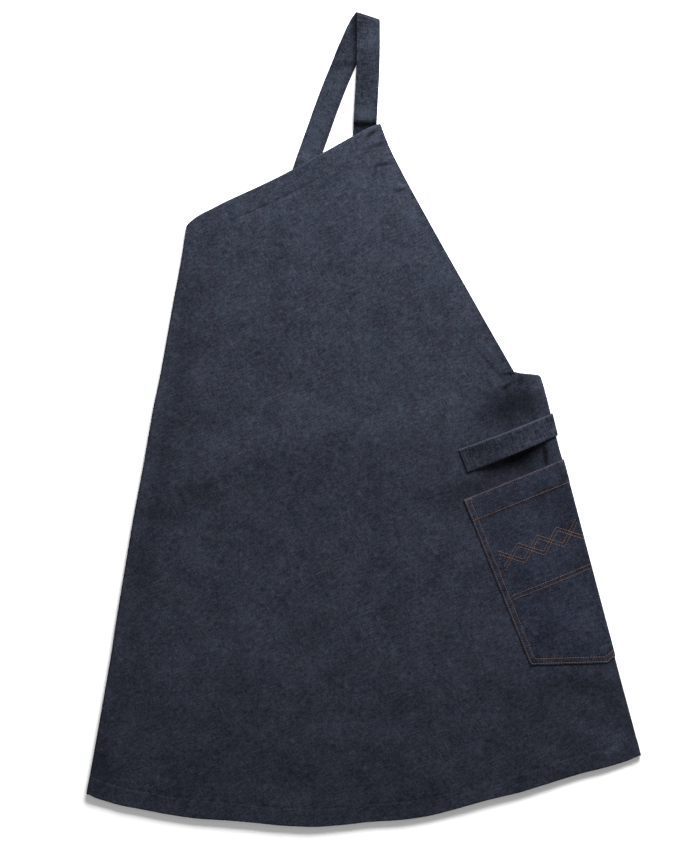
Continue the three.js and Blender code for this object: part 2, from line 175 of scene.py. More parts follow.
@dataclass(frozen=True)
class Undulation:
    """A gentle seeded unevenness of cloth, made of a few slow waves."""

    seed: int
    wavelength: float
    height: float
    waves: int = 9

    def at(self, x: Array, y: Array) -> Array:
        """Height of the unevenness at plan points."""
        pick = np.random.default_rng(self.seed)
        total = np.zeros(np.broadcast(x, y).shape)
        for _ in range(self.waves):
            angle, phase = pick.uniform(0, math.pi), pick.uniform(0, 2 * math.pi)
            length = self.wavelength * pick.uniform(0.7, 1.6)
            along = (x * math.cos(angle) + y * math.sin(angle)) * 2 * math.pi / length
            total = total + np.sin(along + phase)
        return total * self.height / math.sqrt(self.waves)


@dataclass(frozen=True)
class SoftFold:
    """One soft ridge or dent: centre, direction, half spans and rise."""

    x: float
    y: float
    turn: float
    length: float
    width: float
    rise: float

    def at(self, x: Array, y: Array) -> Array:
        """Height that the fold adds at plan points."""
        c, s = math.cos(math.radians(self.turn)), math.sin(math.radians(self.turn))
        dx, dy = x - self.x, y - self.y
        u, v = (dx * c + dy * s) / self.length, (dy * c - dx * s) / self.width
        return self.rise * np.exp(-u * u - v * v)


def soft_folds(*rows: Sequence[float]) -> tuple[SoftFold, ...]:
    """Soft folds from rows of x, y, turn, length, width and rise."""
    return tuple(SoftFold(*row) for row in rows)


# The laid body, seen from above and in height


@dataclass(frozen=True)
class BodyPlan:
    """Plan and heights of the laid body."""

    hem_width: float = 721.0
    length: float = 914.0
    strap_rise: float = 146.0
    loft: float = 10.5
    left_lean: float = math.radians(9.99)
    right_lean: float = math.radians(14.91)
    left_radius: float = 3.2
    right_radius: float = 2.7
    left_corner: float = 0.046
    right_corner: float = 0.101
    peak: float = 0.6565
    notch: float = 0.9385
    top: Curve = Curve(
        (
            (0.0, 0.86), (0.012, 0.865), (0.03, 0.871), (0.06, 0.878), (0.1, 0.8875),
            (0.25, 0.918), (0.3, 0.9285), (0.45, 0.9615), (0.55, 0.9825), (0.6433, 0.999),
            (0.6565, 1.0), (0.68, 0.967), (0.71, 0.935), (0.77, 0.871), (0.8, 0.8365),
            (0.83, 0.8), (0.86, 0.762), (0.89, 0.7205), (0.915, 0.684), (0.9385, 0.6475),
            (0.955, 0.6455), (0.975, 0.6445), (1.0, 0.643),
        ),
        (0.6565, 0.9385),
    )
    hem: Curve = Curve(
        (
            (0.0, 0.046), (0.012, 0.0415), (0.03, 0.037), (0.06, 0.0305), (0.1, 0.0245),
            (0.15, 0.017), (0.2, 0.0115), (0.25, 0.009), (0.3, 0.0055), (0.35, 0.0015),
            (0.4, 0.0), (0.45, 0.0025), (0.5, 0.007), (0.55, 0.0095), (0.6, 0.015),
            (0.6433, 0.0235), (0.68, 0.0315), (0.71, 0.038), (0.74, 0.0435), (0.77, 0.049),
            (0.8, 0.056), (0.83, 0.063), (0.86, 0.07), (0.89, 0.0765), (0.915, 0.081),
            (0.9385, 0.0855), (0.955, 0.089), (0.975, 0.0935), (1.0, 0.101),
        )
    )
    edge_lift: Curve = Curve(
        (
            (0.0, 0.61), (0.1, 0.62), (0.15, 0.64), (0.2, 0.68), (0.25, 0.75), (0.3, 0.78),
            (0.45, 0.78), (0.5, 0.76), (0.55, 0.73), (0.6, 0.78), (0.6433, 0.8),
            (0.6565, 0.8), (0.68, 0.55), (0.71, 0.33), (0.74, 0.25), (0.86, 0.25),
            (0.89, 0.28), (0.915, 0.37), (0.9385, 0.48), (0.955, 0.51), (0.975, 0.515), (1.0, 0.5143),
        )
    )
    wing_top: Curve = Curve(((0.468, 0.421), (1.0, 0.643)))
    wing_raise: Curve = Curve(
        (
            (0.17, 0.0), (0.238, 1.5), (0.4294, 1.5), (0.465, 2.7), (0.6001, 2.7),
            (0.643, 0.0),
        )
    )
    left_swell: Curve = Curve(
        (
            (-488.0, 0.0), (-400.0, -0.2), (-310.0, 0.0), (-260.0, 1.2), (-190.0, 1.9),
            (-125.0, 2.4), (-60.0, 1.5), (15.0, 1.6), (45.0, 0.5), (70.0, 0.0), (150.0, -0.1),
            (200.0, -0.6), (256.0, 0.2),
        )
    )
    right_swell: Curve = Curve(
        (
            (-437.0, 0.2), (-400.0, 0.4), (-320.0, 0.2), (-260.0, 0.2), (-110.0, 0.5),
            (-60.0, 0.6), (-35.0, 0.3), (0.0, 1.0), (30.0, 1.6), (58.0, 0.8),
        )
    )
    folds: tuple[SoftFold, ...] = soft_folds(
        (-86.5, -31.9, 8.6, 230, 26, 2.2), (-36, -95.9, 7, 210, 24, -2),
        (-252, -30, 66, 46, 13, -2.2), (-268, -110, 10, 24, 12, -2),
        (-227, -101.5, -50, 20, 7, -1.8), (266.8, -342.6, -12, 30, 9, -1.3),
    )
    creases: tuple[SoftFold, ...] = soft_folds(
        (187.5, 58.3, 3, 7, 1.8, -1.1), (188.4, 41.1, 42, 5, 1.8, -0.9),
        (191.9, 50, 90, 7, 1.6, -0.6), (235.7, -48.5, 95, 15, 2, -1.2),
    )
    hollow: float = -1.9
    layers: float = 2.75
    settle: float = 4.6
    waves: tuple[Undulation, ...] = (
        Undulation(3, 230.0, 0.35),
        Undulation(8, 95.0, 0.16),
        Undulation(21, 38.0, 0.05),
    )

    def height_of(self, share: Array | float) -> Array:
        """Y of a share of the body's length above the hem's lowest point."""
        return np.asarray(share) * self.length - (self.length + self.strap_rise) / 2

    def left_tangent(self, y: Array) -> Array:
        """X at which the front starts to roll over the left fold."""
        fold = -self.hem_width / 2 - self.left_swell.at(y)
        fold = fold + (y - self.height_of(self.left_corner)) * math.tan(self.left_lean)
        return fold + self.left_radius / math.cos(self.left_lean)

    def right_tangent(self, y: Array) -> Array:
        """X at which the front starts to roll over the right fold."""
        fold = self.hem_width / 2 + self.right_swell.at(y)
        fold = fold - (y - self.height_of(self.right_corner)) * math.tan(self.right_lean)
        return fold - self.right_radius / math.cos(self.right_lean)

    def rib_x(self, across: Array, y: Array) -> Array:
        """X on a straight rib that fans out between the side folds."""
        return mix(self.left_tangent(y), self.right_tangent(y), across)

    def across_at(self, x: Array, y: Array) -> Array:
        """Share of the width between the side folds at a plan point."""
        left, right = self.left_tangent(y), self.right_tangent(y)
        return (x - left) / (right - left)

    def top_y(self, across: Array) -> Array:
        """Y of the front's top edge on a rib."""
        return self.height_of(self.top.at(across))

    def hem_y(self, across: Array) -> Array:
        """Y of the front's hem on a rib."""
        return self.height_of(self.hem.at(across))

    def from_left(self, x: Array, y: Array) -> Array:
        """Distance of a plan point from the left fold's tangent line."""
        return (x - self.left_tangent(y)) * math.cos(self.left_lean)

    def from_right(self, x: Array, y: Array) -> Array:
        """Distance of a plan point from the right fold's tangent line."""
        return (self.right_tangent(y) - x) * math.cos(self.right_lean)

    def wing_lift(self, x: Array, y: Array) -> Array:
        """Height of the right back panel's outer face above the floor."""
        share = (y - self.height_of(0.0)) / self.length
        at_fold = np.interp(share, *zip(*self.wing_raise.rows))
        return at_fold * (1 - smooth(self.from_right(x, y) - 80, 50))

    def hollows(self, x: Array, y: Array) -> Array:
        """Sunk places beside the two side folds, zero or less."""
        right, left = self.from_right(x, y), self.from_left(x, y)
        sunk = smooth(right - 14.5, 7.0) * (1 - smooth(right - 26.0, 42.0))
        basin = self.hollow * sunk * smooth(42.0 - y, 17.0) * smooth(y + 68.0, 16.0)
        lower = smooth(-310 - y, 60)
        roll = -0.5 * np.exp(-(((right - 16) / 6.0) ** 2)) * lower
        creases = sum(crease.at(x, y) for crease in self.creases)
        return basin + roll + creases - 0.35 * np.exp(-(((left - 15) / 7.0) ** 2))

    def front_lift(self, x: Array, y: Array, sunk: float = 1.0) -> Array:
        """Height of the front's outer face above the floor.

        Args:
            x: Plan positions across.
            y: Plan positions along.
            sunk: Share of the hollows beside the side folds.

        Returns:
            The heights.
        """
        across = np.clip(self.across_at(x, y), 0, 1)
        left, right = self.from_left(x, y), self.from_right(x, y)
        right_fold = self.wing_lift(self.right_tangent(y), y) + 2 * self.right_radius
        soft = sum(f.at(x, y) for f in self.folds) + sum(w.at(x, y) for w in self.waves)
        lift = self.loft + soft * smooth(left, 45) * smooth(right, 45)
        lift = mix(2 * self.left_radius, lift, smooth(left, 45))
        lift = mix(right_fold, lift, smooth(right, 45))
        edge = self.loft * self.edge_lift.at(across)
        edge = mix(2 * self.left_radius, edge, smooth(left, 30))
        edge = mix(right_fold, edge, smooth(right, 30))
        down, up = self.top_y(across) - y, y - self.hem_y(across)
        settled = self.settle * (1 - smooth(up, 110)) * smooth(left, 40) * smooth(right, 40)
        height = mix(edge, lift, smooth(down, 120)) - settled + sunk * self.hollows(x, y)
        return np.maximum(height, self.wing_lift(x, y) + self.layers * smooth(90 - y, 30))

    def wrap_right(self, x: Array, y: Array, clear: Array | float) -> Array:
        """Lay a plan point on the front, round the right fold or behind it.

        Args:
            x: Plan positions, counted on past the fold.
            y: Plan positions.
            clear: Distance of the laid face from the body's outer face.

        Returns:
            Points as an array whose last axis is x, y, z.
        """
        lean = self.right_lean
        beyond = -self.from_right(x, y)
        turn = self.right_radius + 0.3
        angle = np.clip(math.pi / 2 - beyond / turn, -math.pi / 2, math.pi / 2)
        radius = self.right_radius + clear
        over = beyond < math.pi * turn
        reach = np.where(over, radius * np.cos(angle), math.pi * turn - beyond)
        shift = np.where(beyond > 0, reach - beyond, 0.0)
        px, py = x + math.cos(lean) * shift, y + math.sin(lean) * shift
        base = self.wing_lift(px, py)
        rolled = base + self.right_radius + radius * np.sin(angle)
        behind = base - clear
        z = np.where(over, rolled, behind)
        front = self.front_lift(x, y, 0.0) + clear
        return np.stack([px, py, np.where(beyond > 0, z, front)], -1)


# Building sheets of cloth


@dataclass
class Sheet:
    """A sheet of cloth as a grid of outer points, columns first.

    A weight of 1 gives a place the thickness of doubled cloth.
    """

    name: str
    points: Array
    grain: Array
    weight: Array
    seam: Array
    # Rubbed paleness together with painted shade and light, stored as the worn attribute.
    worn: Array
    doubled: float = 2.4

    def build(self) -> bpy.types.Object:
        """Make the sheet from a bmesh grid and give it its thickness.

        Returns:
            The new object, with the cloth's own UV map, its seam attribute, and its worn attribute of
            rubbed edges and painted shade and light.
        """
        wide, tall = self.points.shape[:2]
        bm = bmesh.new()
        bmesh.ops.create_grid(bm, x_segments=wide - 1, y_segments=tall - 1, size=1.0)
        places = {}
        for vert in bm.verts:
            i = round((vert.co.x + 1) / 2 * (wide - 1))
            j = round((1 - vert.co.y) / 2 * (tall - 1))
            places[vert.index] = (i, j)
        uv = bm.loops.layers.uv.new("cloth")
        seam = bm.verts.layers.float.new("seam")
        worn = bm.verts.layers.float.new("worn")
        deform = bm.verts.layers.deform.new()
        for vert in bm.verts:
            i, j = places[vert.index]
            vert.co = Vector(self.points[i, j]) * MM
            vert[seam] = float(self.seam[i, j])
            vert[worn] = float(self.worn[i, j])
            vert[deform][0] = float(self.weight[i, j])
        for face in bm.faces:
            face.smooth = True
            for loop in face.loops:
                loop[uv].uv = self.grain[places[loop.vert.index]] * MM
        mesh = bpy.data.meshes.new(self.name)
        bm.to_mesh(mesh)
        bm.free()
        piece = linked(self.name, mesh)
        piece.vertex_groups.new(name="doubled")
        thick = piece.modifiers.new("thickness", "SOLIDIFY")
        thick.thickness = self.doubled * MM
        thick.offset = -1
        thick.vertex_group = "doubled"
        return piece


def rounded_edge(distance: Array, drop: float = 0.8, reach: float = 1.4) -> Array:
    """Drop of the outer face close to a turned edge.

    Args:
        distance: Distances from the edge.
        drop: Drop at the edge itself.
        reach: Distance at which the face is level.

    Returns:
        Heights to add to the outer face, zero or less.
    """
    return -drop * (1 - np.clip(distance / reach, 0, 1)) ** 2


def edge_weight(distance: Array, reach: float = 1.4) -> Array:
    """Share of the thickness kept close to a turned edge."""
    return 0.35 + 0.65 * np.clip(distance / reach, 0, 1)


# Stitching


@dataclass(frozen=True)
class Thread:
    """One sewing thread: how thick it is and how it is stitched."""

    width: float = 0.66
    stitch: float = 3.0
    pitch: float = 3.4
    sunk: float = 0.1


@dataclass
class Stitching:
    """Rows of stitches on one piece of cloth.

    The rows are given in the cloth's own coordinates, and place lays them on it.
    """

    name: str
    thread: Thread
    place: Callable[[Array, Array, float], Array]
    rows: list[Array] = field(default_factory=list)

    def add(self, *points: Sequence[float]) -> None:
        """Add one row of stitches through the given points."""
        self.rows.append(np.array(points, dtype=float))

    def spans(self) -> tuple[Array, Array]:
        """Start and end of every stitch, in the cloth's coordinates."""
        starts, ends = [], []
        for row in self.rows:
            run = run_length(row)
            count = max(1, int(run[-1] / self.thread.pitch))
            pitch = run[-1] / count
            begin = np.arange(count) * pitch + (pitch - self.thread.stitch) / 2
            for at, out in ((begin, starts), (begin + self.thread.stitch, ends)):
                out.append(np.stack([np.interp(at, run, row[:, k]) for k in (0, 1)], -1))
        return np.concatenate(starts), np.concatenate(ends)

    def build(self) -> bpy.types.Object:
        """Make every stitch as a small rounded bead of thread.

        Returns:
            The new object, all its stitches in one mesh.
        """
        a, b = self.spans()
        mid, half = (a + b) / 2, self.thread.width / 2
        low = self.place(mid[:, 0], mid[:, 1], 0.0)
        up = self.place(mid[:, 0], mid[:, 1], 1.0) - low
        start = self.place(a[:, 0], a[:, 1], 0.0)
        end = self.place(b[:, 0], b[:, 1], 0.0)
        whole = bmesh.new()
        for first in range(0, len(a), 60):
            part = bmesh.new()
            for k in range(first, min(first + 60, len(a))):
                along = Vector(end[k] - start[k])
                normal = Vector(up[k]).normalized()
                side = normal.cross(along).normalized()
                centre = Vector(low[k]) + normal * (half - self.thread.sunk)
                turn = Matrix((along.normalized(), side, normal)).transposed().to_4x4()
                size = Matrix.Diagonal((along.length / 2, half, half * 0.8, 1))
                place = Matrix.Translation(centre * MM) @ Matrix.Scale(MM, 4) @ turn @ size
                bmesh.ops.create_uvsphere(
                    part, u_segments=4, v_segments=6, radius=1.0,
                    matrix=place @ Matrix.Rotation(math.pi / 2, 4, "Y"),
                )
            step = bpy.data.meshes.new("stitches_part")
            part.to_mesh(step)
            part.free()
            whole.from_mesh(step)
            bpy.data.meshes.remove(step)
        for face in whole.faces:
            face.smooth = True
        for vert in whole.verts:
            vert.co.z = max(vert.co.z, 0.0)
        mesh = bpy.data.meshes.new(self.name)
        whole.to_mesh(mesh)
        whole.free()
        return linked(self.name, mesh)


# Finishes


@dataclass
class Sketch:
    """Small helper that lays out one material's nodes."""

    material: bpy.types.Material

    @classmethod
    def begin(cls, name: str) -> Sketch:
        """Start a new material."""
        material = bpy.data.materials.new(name)
        material.use_nodes = True
        return cls(material)

    @property
    def tree(self) -> bpy.types.NodeTree:
        """The material's node tree."""
        return self.material.node_tree

    @property
    def shader(self) -> bpy.types.Node:
        """The material's main shader."""
        return self.tree.nodes["Principled BSDF"]

    def node(self, kind: str, inputs: dict | None = None, **settings) -> bpy.types.Node:
        """Add a node.

        Args:
            kind: Blender's node type.
            inputs: Values or links by socket name or number.
            settings: Attributes of the node.

        Returns:
            The new node.
        """
        made = self.tree.nodes.new(kind)
        for key, value in settings.items():
            setattr(made, key, value)
        for key, value in (inputs or {}).items():
            if isinstance(value, Socket):
                self.tree.links.new(value, made.inputs[key])
            else:
                made.inputs[key].default_value = value
        return made

    def math(self, operation: str, *values: float | Socket) -> Socket:
        """Add a Math node and return its result."""
        made = self.node("ShaderNodeMath", dict(enumerate(values)), operation=operation)
        return made.outputs[0]

    def streaks(
        self, source: Socket, scale: tuple[float, float], detail: float
    ) -> Socket:
        """Noise drawn out along the cloth's threads.

        Args:
            source: Cloth coordinates in metres.
            scale: Cells in one metre across and along.
            detail: Detail of the noise.

        Returns:
            The noise, 0 to 1.
        """
        spread = self.node(
            "ShaderNodeMapping", {"Vector": source, "Scale": (scale[0], scale[1], 1.0)}
        )
        noise = self.node(
            "ShaderNodeTexNoise",
            {"Vector": spread.outputs[0], "Scale": 1.0, "Detail": detail, "Roughness": 0.55},
        )
        return noise.outputs["Fac"]

    def spread(
        self, value: Socket, low: float, high: float, to_low: float, to_high: float
    ) -> Socket:
        """Map a value from one range to another and clamp it."""
        made = self.node(
            "ShaderNodeMapRange",
            {"Value": value, "From Min": low, "From Max": high, "To Min": to_low,
             "To Max": to_high},
        )
        return made.outputs[0]

    def blend(self, factor: float | Socket, a: Sequence[float] | Socket,
              b: Sequence[float] | Socket, kind: str = "MIX") -> Socket:
        """Mix two colours, or multiply them."""
        made = self.node("ShaderNodeMix", {"Factor": factor, "A": a, "B": b},
                         data_type="RGBA", blend_type=kind)
        return made.outputs["Result"]


@dataclass(frozen=True)
class DenimFinish:
    """Indigo denim: thread streaks both ways, slubs, mottling and puckered seams, plus painted shade
    and highlights from creases, seam grooves and the worn attribute.

    A layer has cells in one metre across and along, detail of the noise and share of the tone,
    and slubs have cells alone. Cool and warm are the two ends of the cloth's slow change of hue.
    """

    name: str
    deep: tuple[float, float, float]
    pale: tuple[float, float, float]
    contrast: float = 0.9
    pucker: float = 1.0
    seam_shade: float = 0.22
    grain: float = 0.0
    # Fine creases drawn as painted shade, and as painted highlights where their rise is above zero.
    creases: tuple[SoftFold, ...] = ()
    layers: tuple[tuple[tuple[float, float], float, float], ...] = (
        ((110.0, 640.0), 1.0, 1.1), ((640.0, 120.0), 1.0, 0.95), ((560.0, 560.0), 1.0, 0.6),
        ((110.0, 125.0), 1.0, 0.3), ((36.0, 32.0), 2.0, 0.55), ((12.0, 12.0), 2.0, 0.45),
    )
    slubs: tuple[tuple[float, float], ...] = ((26.0, 430.0), (430.0, 34.0))
    cool: tuple[float, float, float, float] = (0.965, 1.012, 1.04, 1.0)
    warm: tuple[float, float, float, float] = (1.03, 0.988, 0.96, 1.0)
    base: float = 0.54
    # Lowest factor that painted shade may multiply the colour by.
    darkest: float = 0.25
    relief: float = 0.37

    def build(self) -> bpy.types.Material:
        """Make the material.

        Returns:
            A node material that reads the cloth's UV map, its seam attribute, and its worn attribute
            of rubbed edges and painted shade and light.
        """
        sketch = Sketch.begin(self.name)
        shader = sketch.shader
        cloth = sketch.node("ShaderNodeUVMap", uv_map="cloth").outputs["UV"]
        waves = [sketch.streaks(cloth, scale, detail) for scale, detail, _ in self.layers]
        twill = self.twill(sketch, cloth)
        tone = sketch.math("MULTIPLY", sketch.math("SUBTRACT", twill, 0.5), 0.12)
        for wave, (_, _, share) in zip(waves, self.layers):
            part = sketch.math("MULTIPLY", sketch.math("SUBTRACT", wave, 0.5), share)
            tone = sketch.math("ADD", tone, part)
        for scale in self.slubs:
            slub = sketch.streaks(cloth, scale, 1.0)
            tone = sketch.math("ADD", tone, sketch.spread(slub, 0.62, 0.78, -0.01, 0.28))
        tone = sketch.math("MULTIPLY", tone, self.contrast)
        seam = sketch.node("ShaderNodeAttribute", attribute_name="seam").outputs["Fac"]
        near = sketch.math("ABSOLUTE", seam)
        groove = sketch.spread(near, 0.0, 1.5, 1.0, 0.0)
        beside = sketch.spread(near, 0.0, 9.0, 1.0, 0.0)
        patchy = sketch.spread(sketch.streaks(cloth, (45.0, 45.0), 1.0), 0.35, 0.65, 0.2, 1.3)
        groove = sketch.math("MULTIPLY", groove, patchy)
        # The worn attribute: above zero it pales the tone, for rubbed edges and for painted light;
        # below zero it darkens the colour as painted shade.
        worn = sketch.node("ShaderNodeAttribute", attribute_name="worn").outputs["Fac"]
        rubbed_and_painted_light = sketch.math("MAXIMUM", worn, 0.0)
        tone = sketch.math("ADD", tone, sketch.math("ADD", rubbed_and_painted_light, self.base))
        shade = sketch.math("ADD", sketch.math("MINIMUM", worn, 0.0), 1.0)
        # Crease marks add painted shade and painted highlights to the same factor, and a little bump
        # further down.
        painted_crease_shade = [self.crease(sketch, cloth, line) for line in self.creases]
        for part in painted_crease_shade:
            shade = sketch.math("ADD", shade, part)
        shade = sketch.math("MAXIMUM", shade, self.darkest)
        # Painted shade in the seams' grooves, darkening the tone along each row of stitches.
        tone = sketch.math("SUBTRACT", tone, sketch.math("MULTIPLY", groove, self.seam_shade))
        pucker = sketch.math("SUBTRACT", sketch.streaks(cloth, (95.0, 95.0), 1.0), 0.5)
        pucker = sketch.math("MULTIPLY", pucker, beside)
        tone = sketch.math("ADD", tone, sketch.math("MULTIPLY", pucker, 0.9 * self.pucker))
        paleness = sketch.math("POWER", sketch.math("MAXIMUM", tone, 0.0), 1.5)
        colour = sketch.blend(
            sketch.spread(paleness, 0.0, 1.3, 0.0, 1.3), (*self.deep, 1.0), (*self.pale, 1.0)
        )
        hue = sketch.spread(sketch.streaks(cloth, (48.0, 40.0), 2.0), 0.3, 0.7, 0.0, 1.0)
        for factor in (sketch.blend(hue, self.cool, self.warm), shade):
            colour = sketch.blend(1.0, colour, factor, "MULTIPLY")
        sketch.tree.links.new(colour, shader.inputs["Base Color"])
        height = sketch.math("MULTIPLY", twill, 0.25)
        for wave, share in zip(waves[:3], (0.45, 0.35, 0.6)):
            height = sketch.math("ADD", height, sketch.math("MULTIPLY", wave, share))
        height = sketch.math("ADD", height, sketch.math("MULTIPLY", pucker, 5.0 * self.pucker))
        height = sketch.math("SUBTRACT", height, sketch.math("MULTIPLY", groove, 1.2))
        for part in painted_crease_shade:
            height = sketch.math("ADD", height, sketch.math("MULTIPLY", part, 1.2))
        bump = sketch.node(
            "ShaderNodeBump", {"Height": height, "Strength": self.relief, "Distance": 0.0004}
        )
        sketch.tree.links.new(bump.outputs["Normal"], shader.inputs["Normal"])
        shader.inputs["Roughness"].default_value = 0.92
        shader.inputs["Specular IOR Level"].default_value = 0.03
        shader.inputs["Sheen Weight"].default_value = 0.006
        shader.inputs["Sheen Roughness"].default_value = 0.5
        return sketch.material

    def crease(
        self, sketch: Sketch, cloth: Socket, line: SoftFold
    ) -> Socket:
        """Painted shade of one fine crease, too narrow for the mesh; a rise above zero paints a
        highlight instead.

        Args:
            sketch: The material's nodes.
            cloth: Cloth coordinates in metres.
            line: The crease in plan coordinates, with its painted shade as the rise.

        Returns:
            What the crease adds to the factor that shades the colour.
        """
        c, s = math.cos(self.grain), math.sin(self.grain)
        centre = (line.x * c + line.y * s) * MM, (line.y * c - line.x * s) * MM
        local = sketch.node(
            "ShaderNodeMapping",
            {"Vector": cloth, "Location": (*centre, 0.0),
             "Rotation": (0.0, 0.0, math.radians(line.turn) - self.grain),
             "Scale": (line.length * MM, line.width * MM, 1.0)},
            vector_type="TEXTURE",
        )
        away = sketch.node("ShaderNodeVectorMath", {0: local.outputs[0]}, operation="LENGTH")
        mask = sketch.node(
            "ShaderNodeMapRange",
            {"Value": away.outputs["Value"], "From Min": 0.0, "From Max": 1.5,
             "To Min": line.rise, "To Max": 0.0},
            interpolation_type="SMOOTHSTEP",
        )
        return mask.outputs[0]

    @staticmethod
    def twill(sketch: Sketch, cloth: Socket) -> Socket:
        """Fine diagonal ribs of the weave.

        Args:
            sketch: The material's nodes.
            cloth: Cloth coordinates in metres.

        Returns:
            The ribs, 0 to 1.
        """
        turned = sketch.node(
            "ShaderNodeMapping",
            {"Vector": cloth, "Rotation": (0.0, 0.0, math.radians(63)),
             "Scale": (180.0, 180.0, 1.0)},
        )
        ribs = sketch.node(
            "ShaderNodeTexWave",
            {"Vector": turned.outputs[0], "Scale": 1.0, "Distortion": 0.6, "Detail": 1.0},
        )
        return ribs.outputs["Fac"]


@dataclass(frozen=True)
class ThreadFinish:
    """Twisted sewing thread in one colour."""

    name: str
    colour: tuple[float, float, float]
    worn: tuple[float, float, float]
    roughness: float = 0.6

    def build(self) -> bpy.types.Material:
        """Make the material.

        Returns:
            A node material with slow changes of colour along the rows.
        """
        sketch = Sketch.begin(self.name)
        shader = sketch.shader
        place = sketch.node("ShaderNodeTexCoord").outputs["Object"]
        fade = sketch.node(
            "ShaderNodeTexNoise", {"Vector": place, "Scale": 90.0, "Detail": 2.0}
        ).outputs["Fac"]
        twist = sketch.node(
            "ShaderNodeTexNoise", {"Vector": place, "Scale": 1500.0, "Detail": 1.0}
        ).outputs["Fac"]
        faded = sketch.spread(fade, 0.35, 0.68, 0.0, 1.0)
        colour = sketch.blend(faded, (*self.colour, 1.0), (*self.worn, 1.0))
        sketch.tree.links.new(colour, shader.inputs["Base Color"])
        bump = sketch.node(
            "ShaderNodeBump", {"Height": twist, "Strength": 0.4, "Distance": 0.0002}
        )
        sketch.tree.links.new(bump.outputs["Normal"], shader.inputs["Normal"])
        shader.inputs["Roughness"].default_value = self.roughness
        shader.inputs["Specular IOR Level"].default_value = 0.25
        return sketch.material


@dataclass(frozen=True)
class Finishes:
    """Every finish of the apron."""

    body: DenimFinish = DenimFinish(
        "body_denim", (0.0058, 0.0069, 0.0107), (0.0319, 0.0362, 0.0522), grain=math.radians(22),
        # Painted shade and highlights along fine creases, with a little bump.
        creases=soft_folds(
            (10.1, 371, 33, 9, 3, -0.8), (8, 376, 30, 12, 2.4, 0.3),
            (18.6, 356.5, 22, 12, 2.8, -0.6), (25.1, 331.1, 14, 15, 2.8, -0.65),
            (47.2, 297.3, 10, 9, 3, -0.6), (49, 304, 10, 9, 2.8, 0.35),
            (160, 76, -47, 32, 2.4, -0.4), (187.5, 58.8, 3, 10, 2.2, -0.8),
            (186, 43, 30, 9, 3, -0.6), (203, 50, 88, 9, 4, -0.4), (-237, -99, -62, 15, 4, -0.35),
            (236, -47, 97, 17, 3, -0.7),
        ),
    )
    strap: DenimFinish = DenimFinish(
        "strap_denim", (0.0042, 0.0051, 0.0075), (0.0225, 0.0267, 0.0382), 1.15
    )
    pocket: DenimFinish = DenimFinish(
        "pocket_denim", (0.0053, 0.0063, 0.0102), (0.0275, 0.0319, 0.0498), 1.0, 0.8, 0.2
    )
    loop: DenimFinish = DenimFinish(
        "loop_denim", (0.0044, 0.0052, 0.0079), (0.0258, 0.0295, 0.0428), 1.15, 0.8, 0.25
    )
    rust: ThreadFinish = ThreadFinish("rust_thread", (0.14, 0.07, 0.04), (0.09, 0.053, 0.04))
    navy: ThreadFinish = ThreadFinish("navy_thread", (0.008, 0.010, 0.018), (0.02, 0.024, 0.036))


def dress(piece: bpy.types.Object, material: bpy.types.Material) -> None:
    """Give a piece its material and its place on the root body.

    Args:
        piece: The finished piece.
        material: Its finish.
    """
    piece.data.materials.clear()
    piece.data.materials.append(material)
    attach(piece, "root")
    LOG.info("%s: %d faces", piece.name, len(piece.data.polygons))


# Sub-assemblies


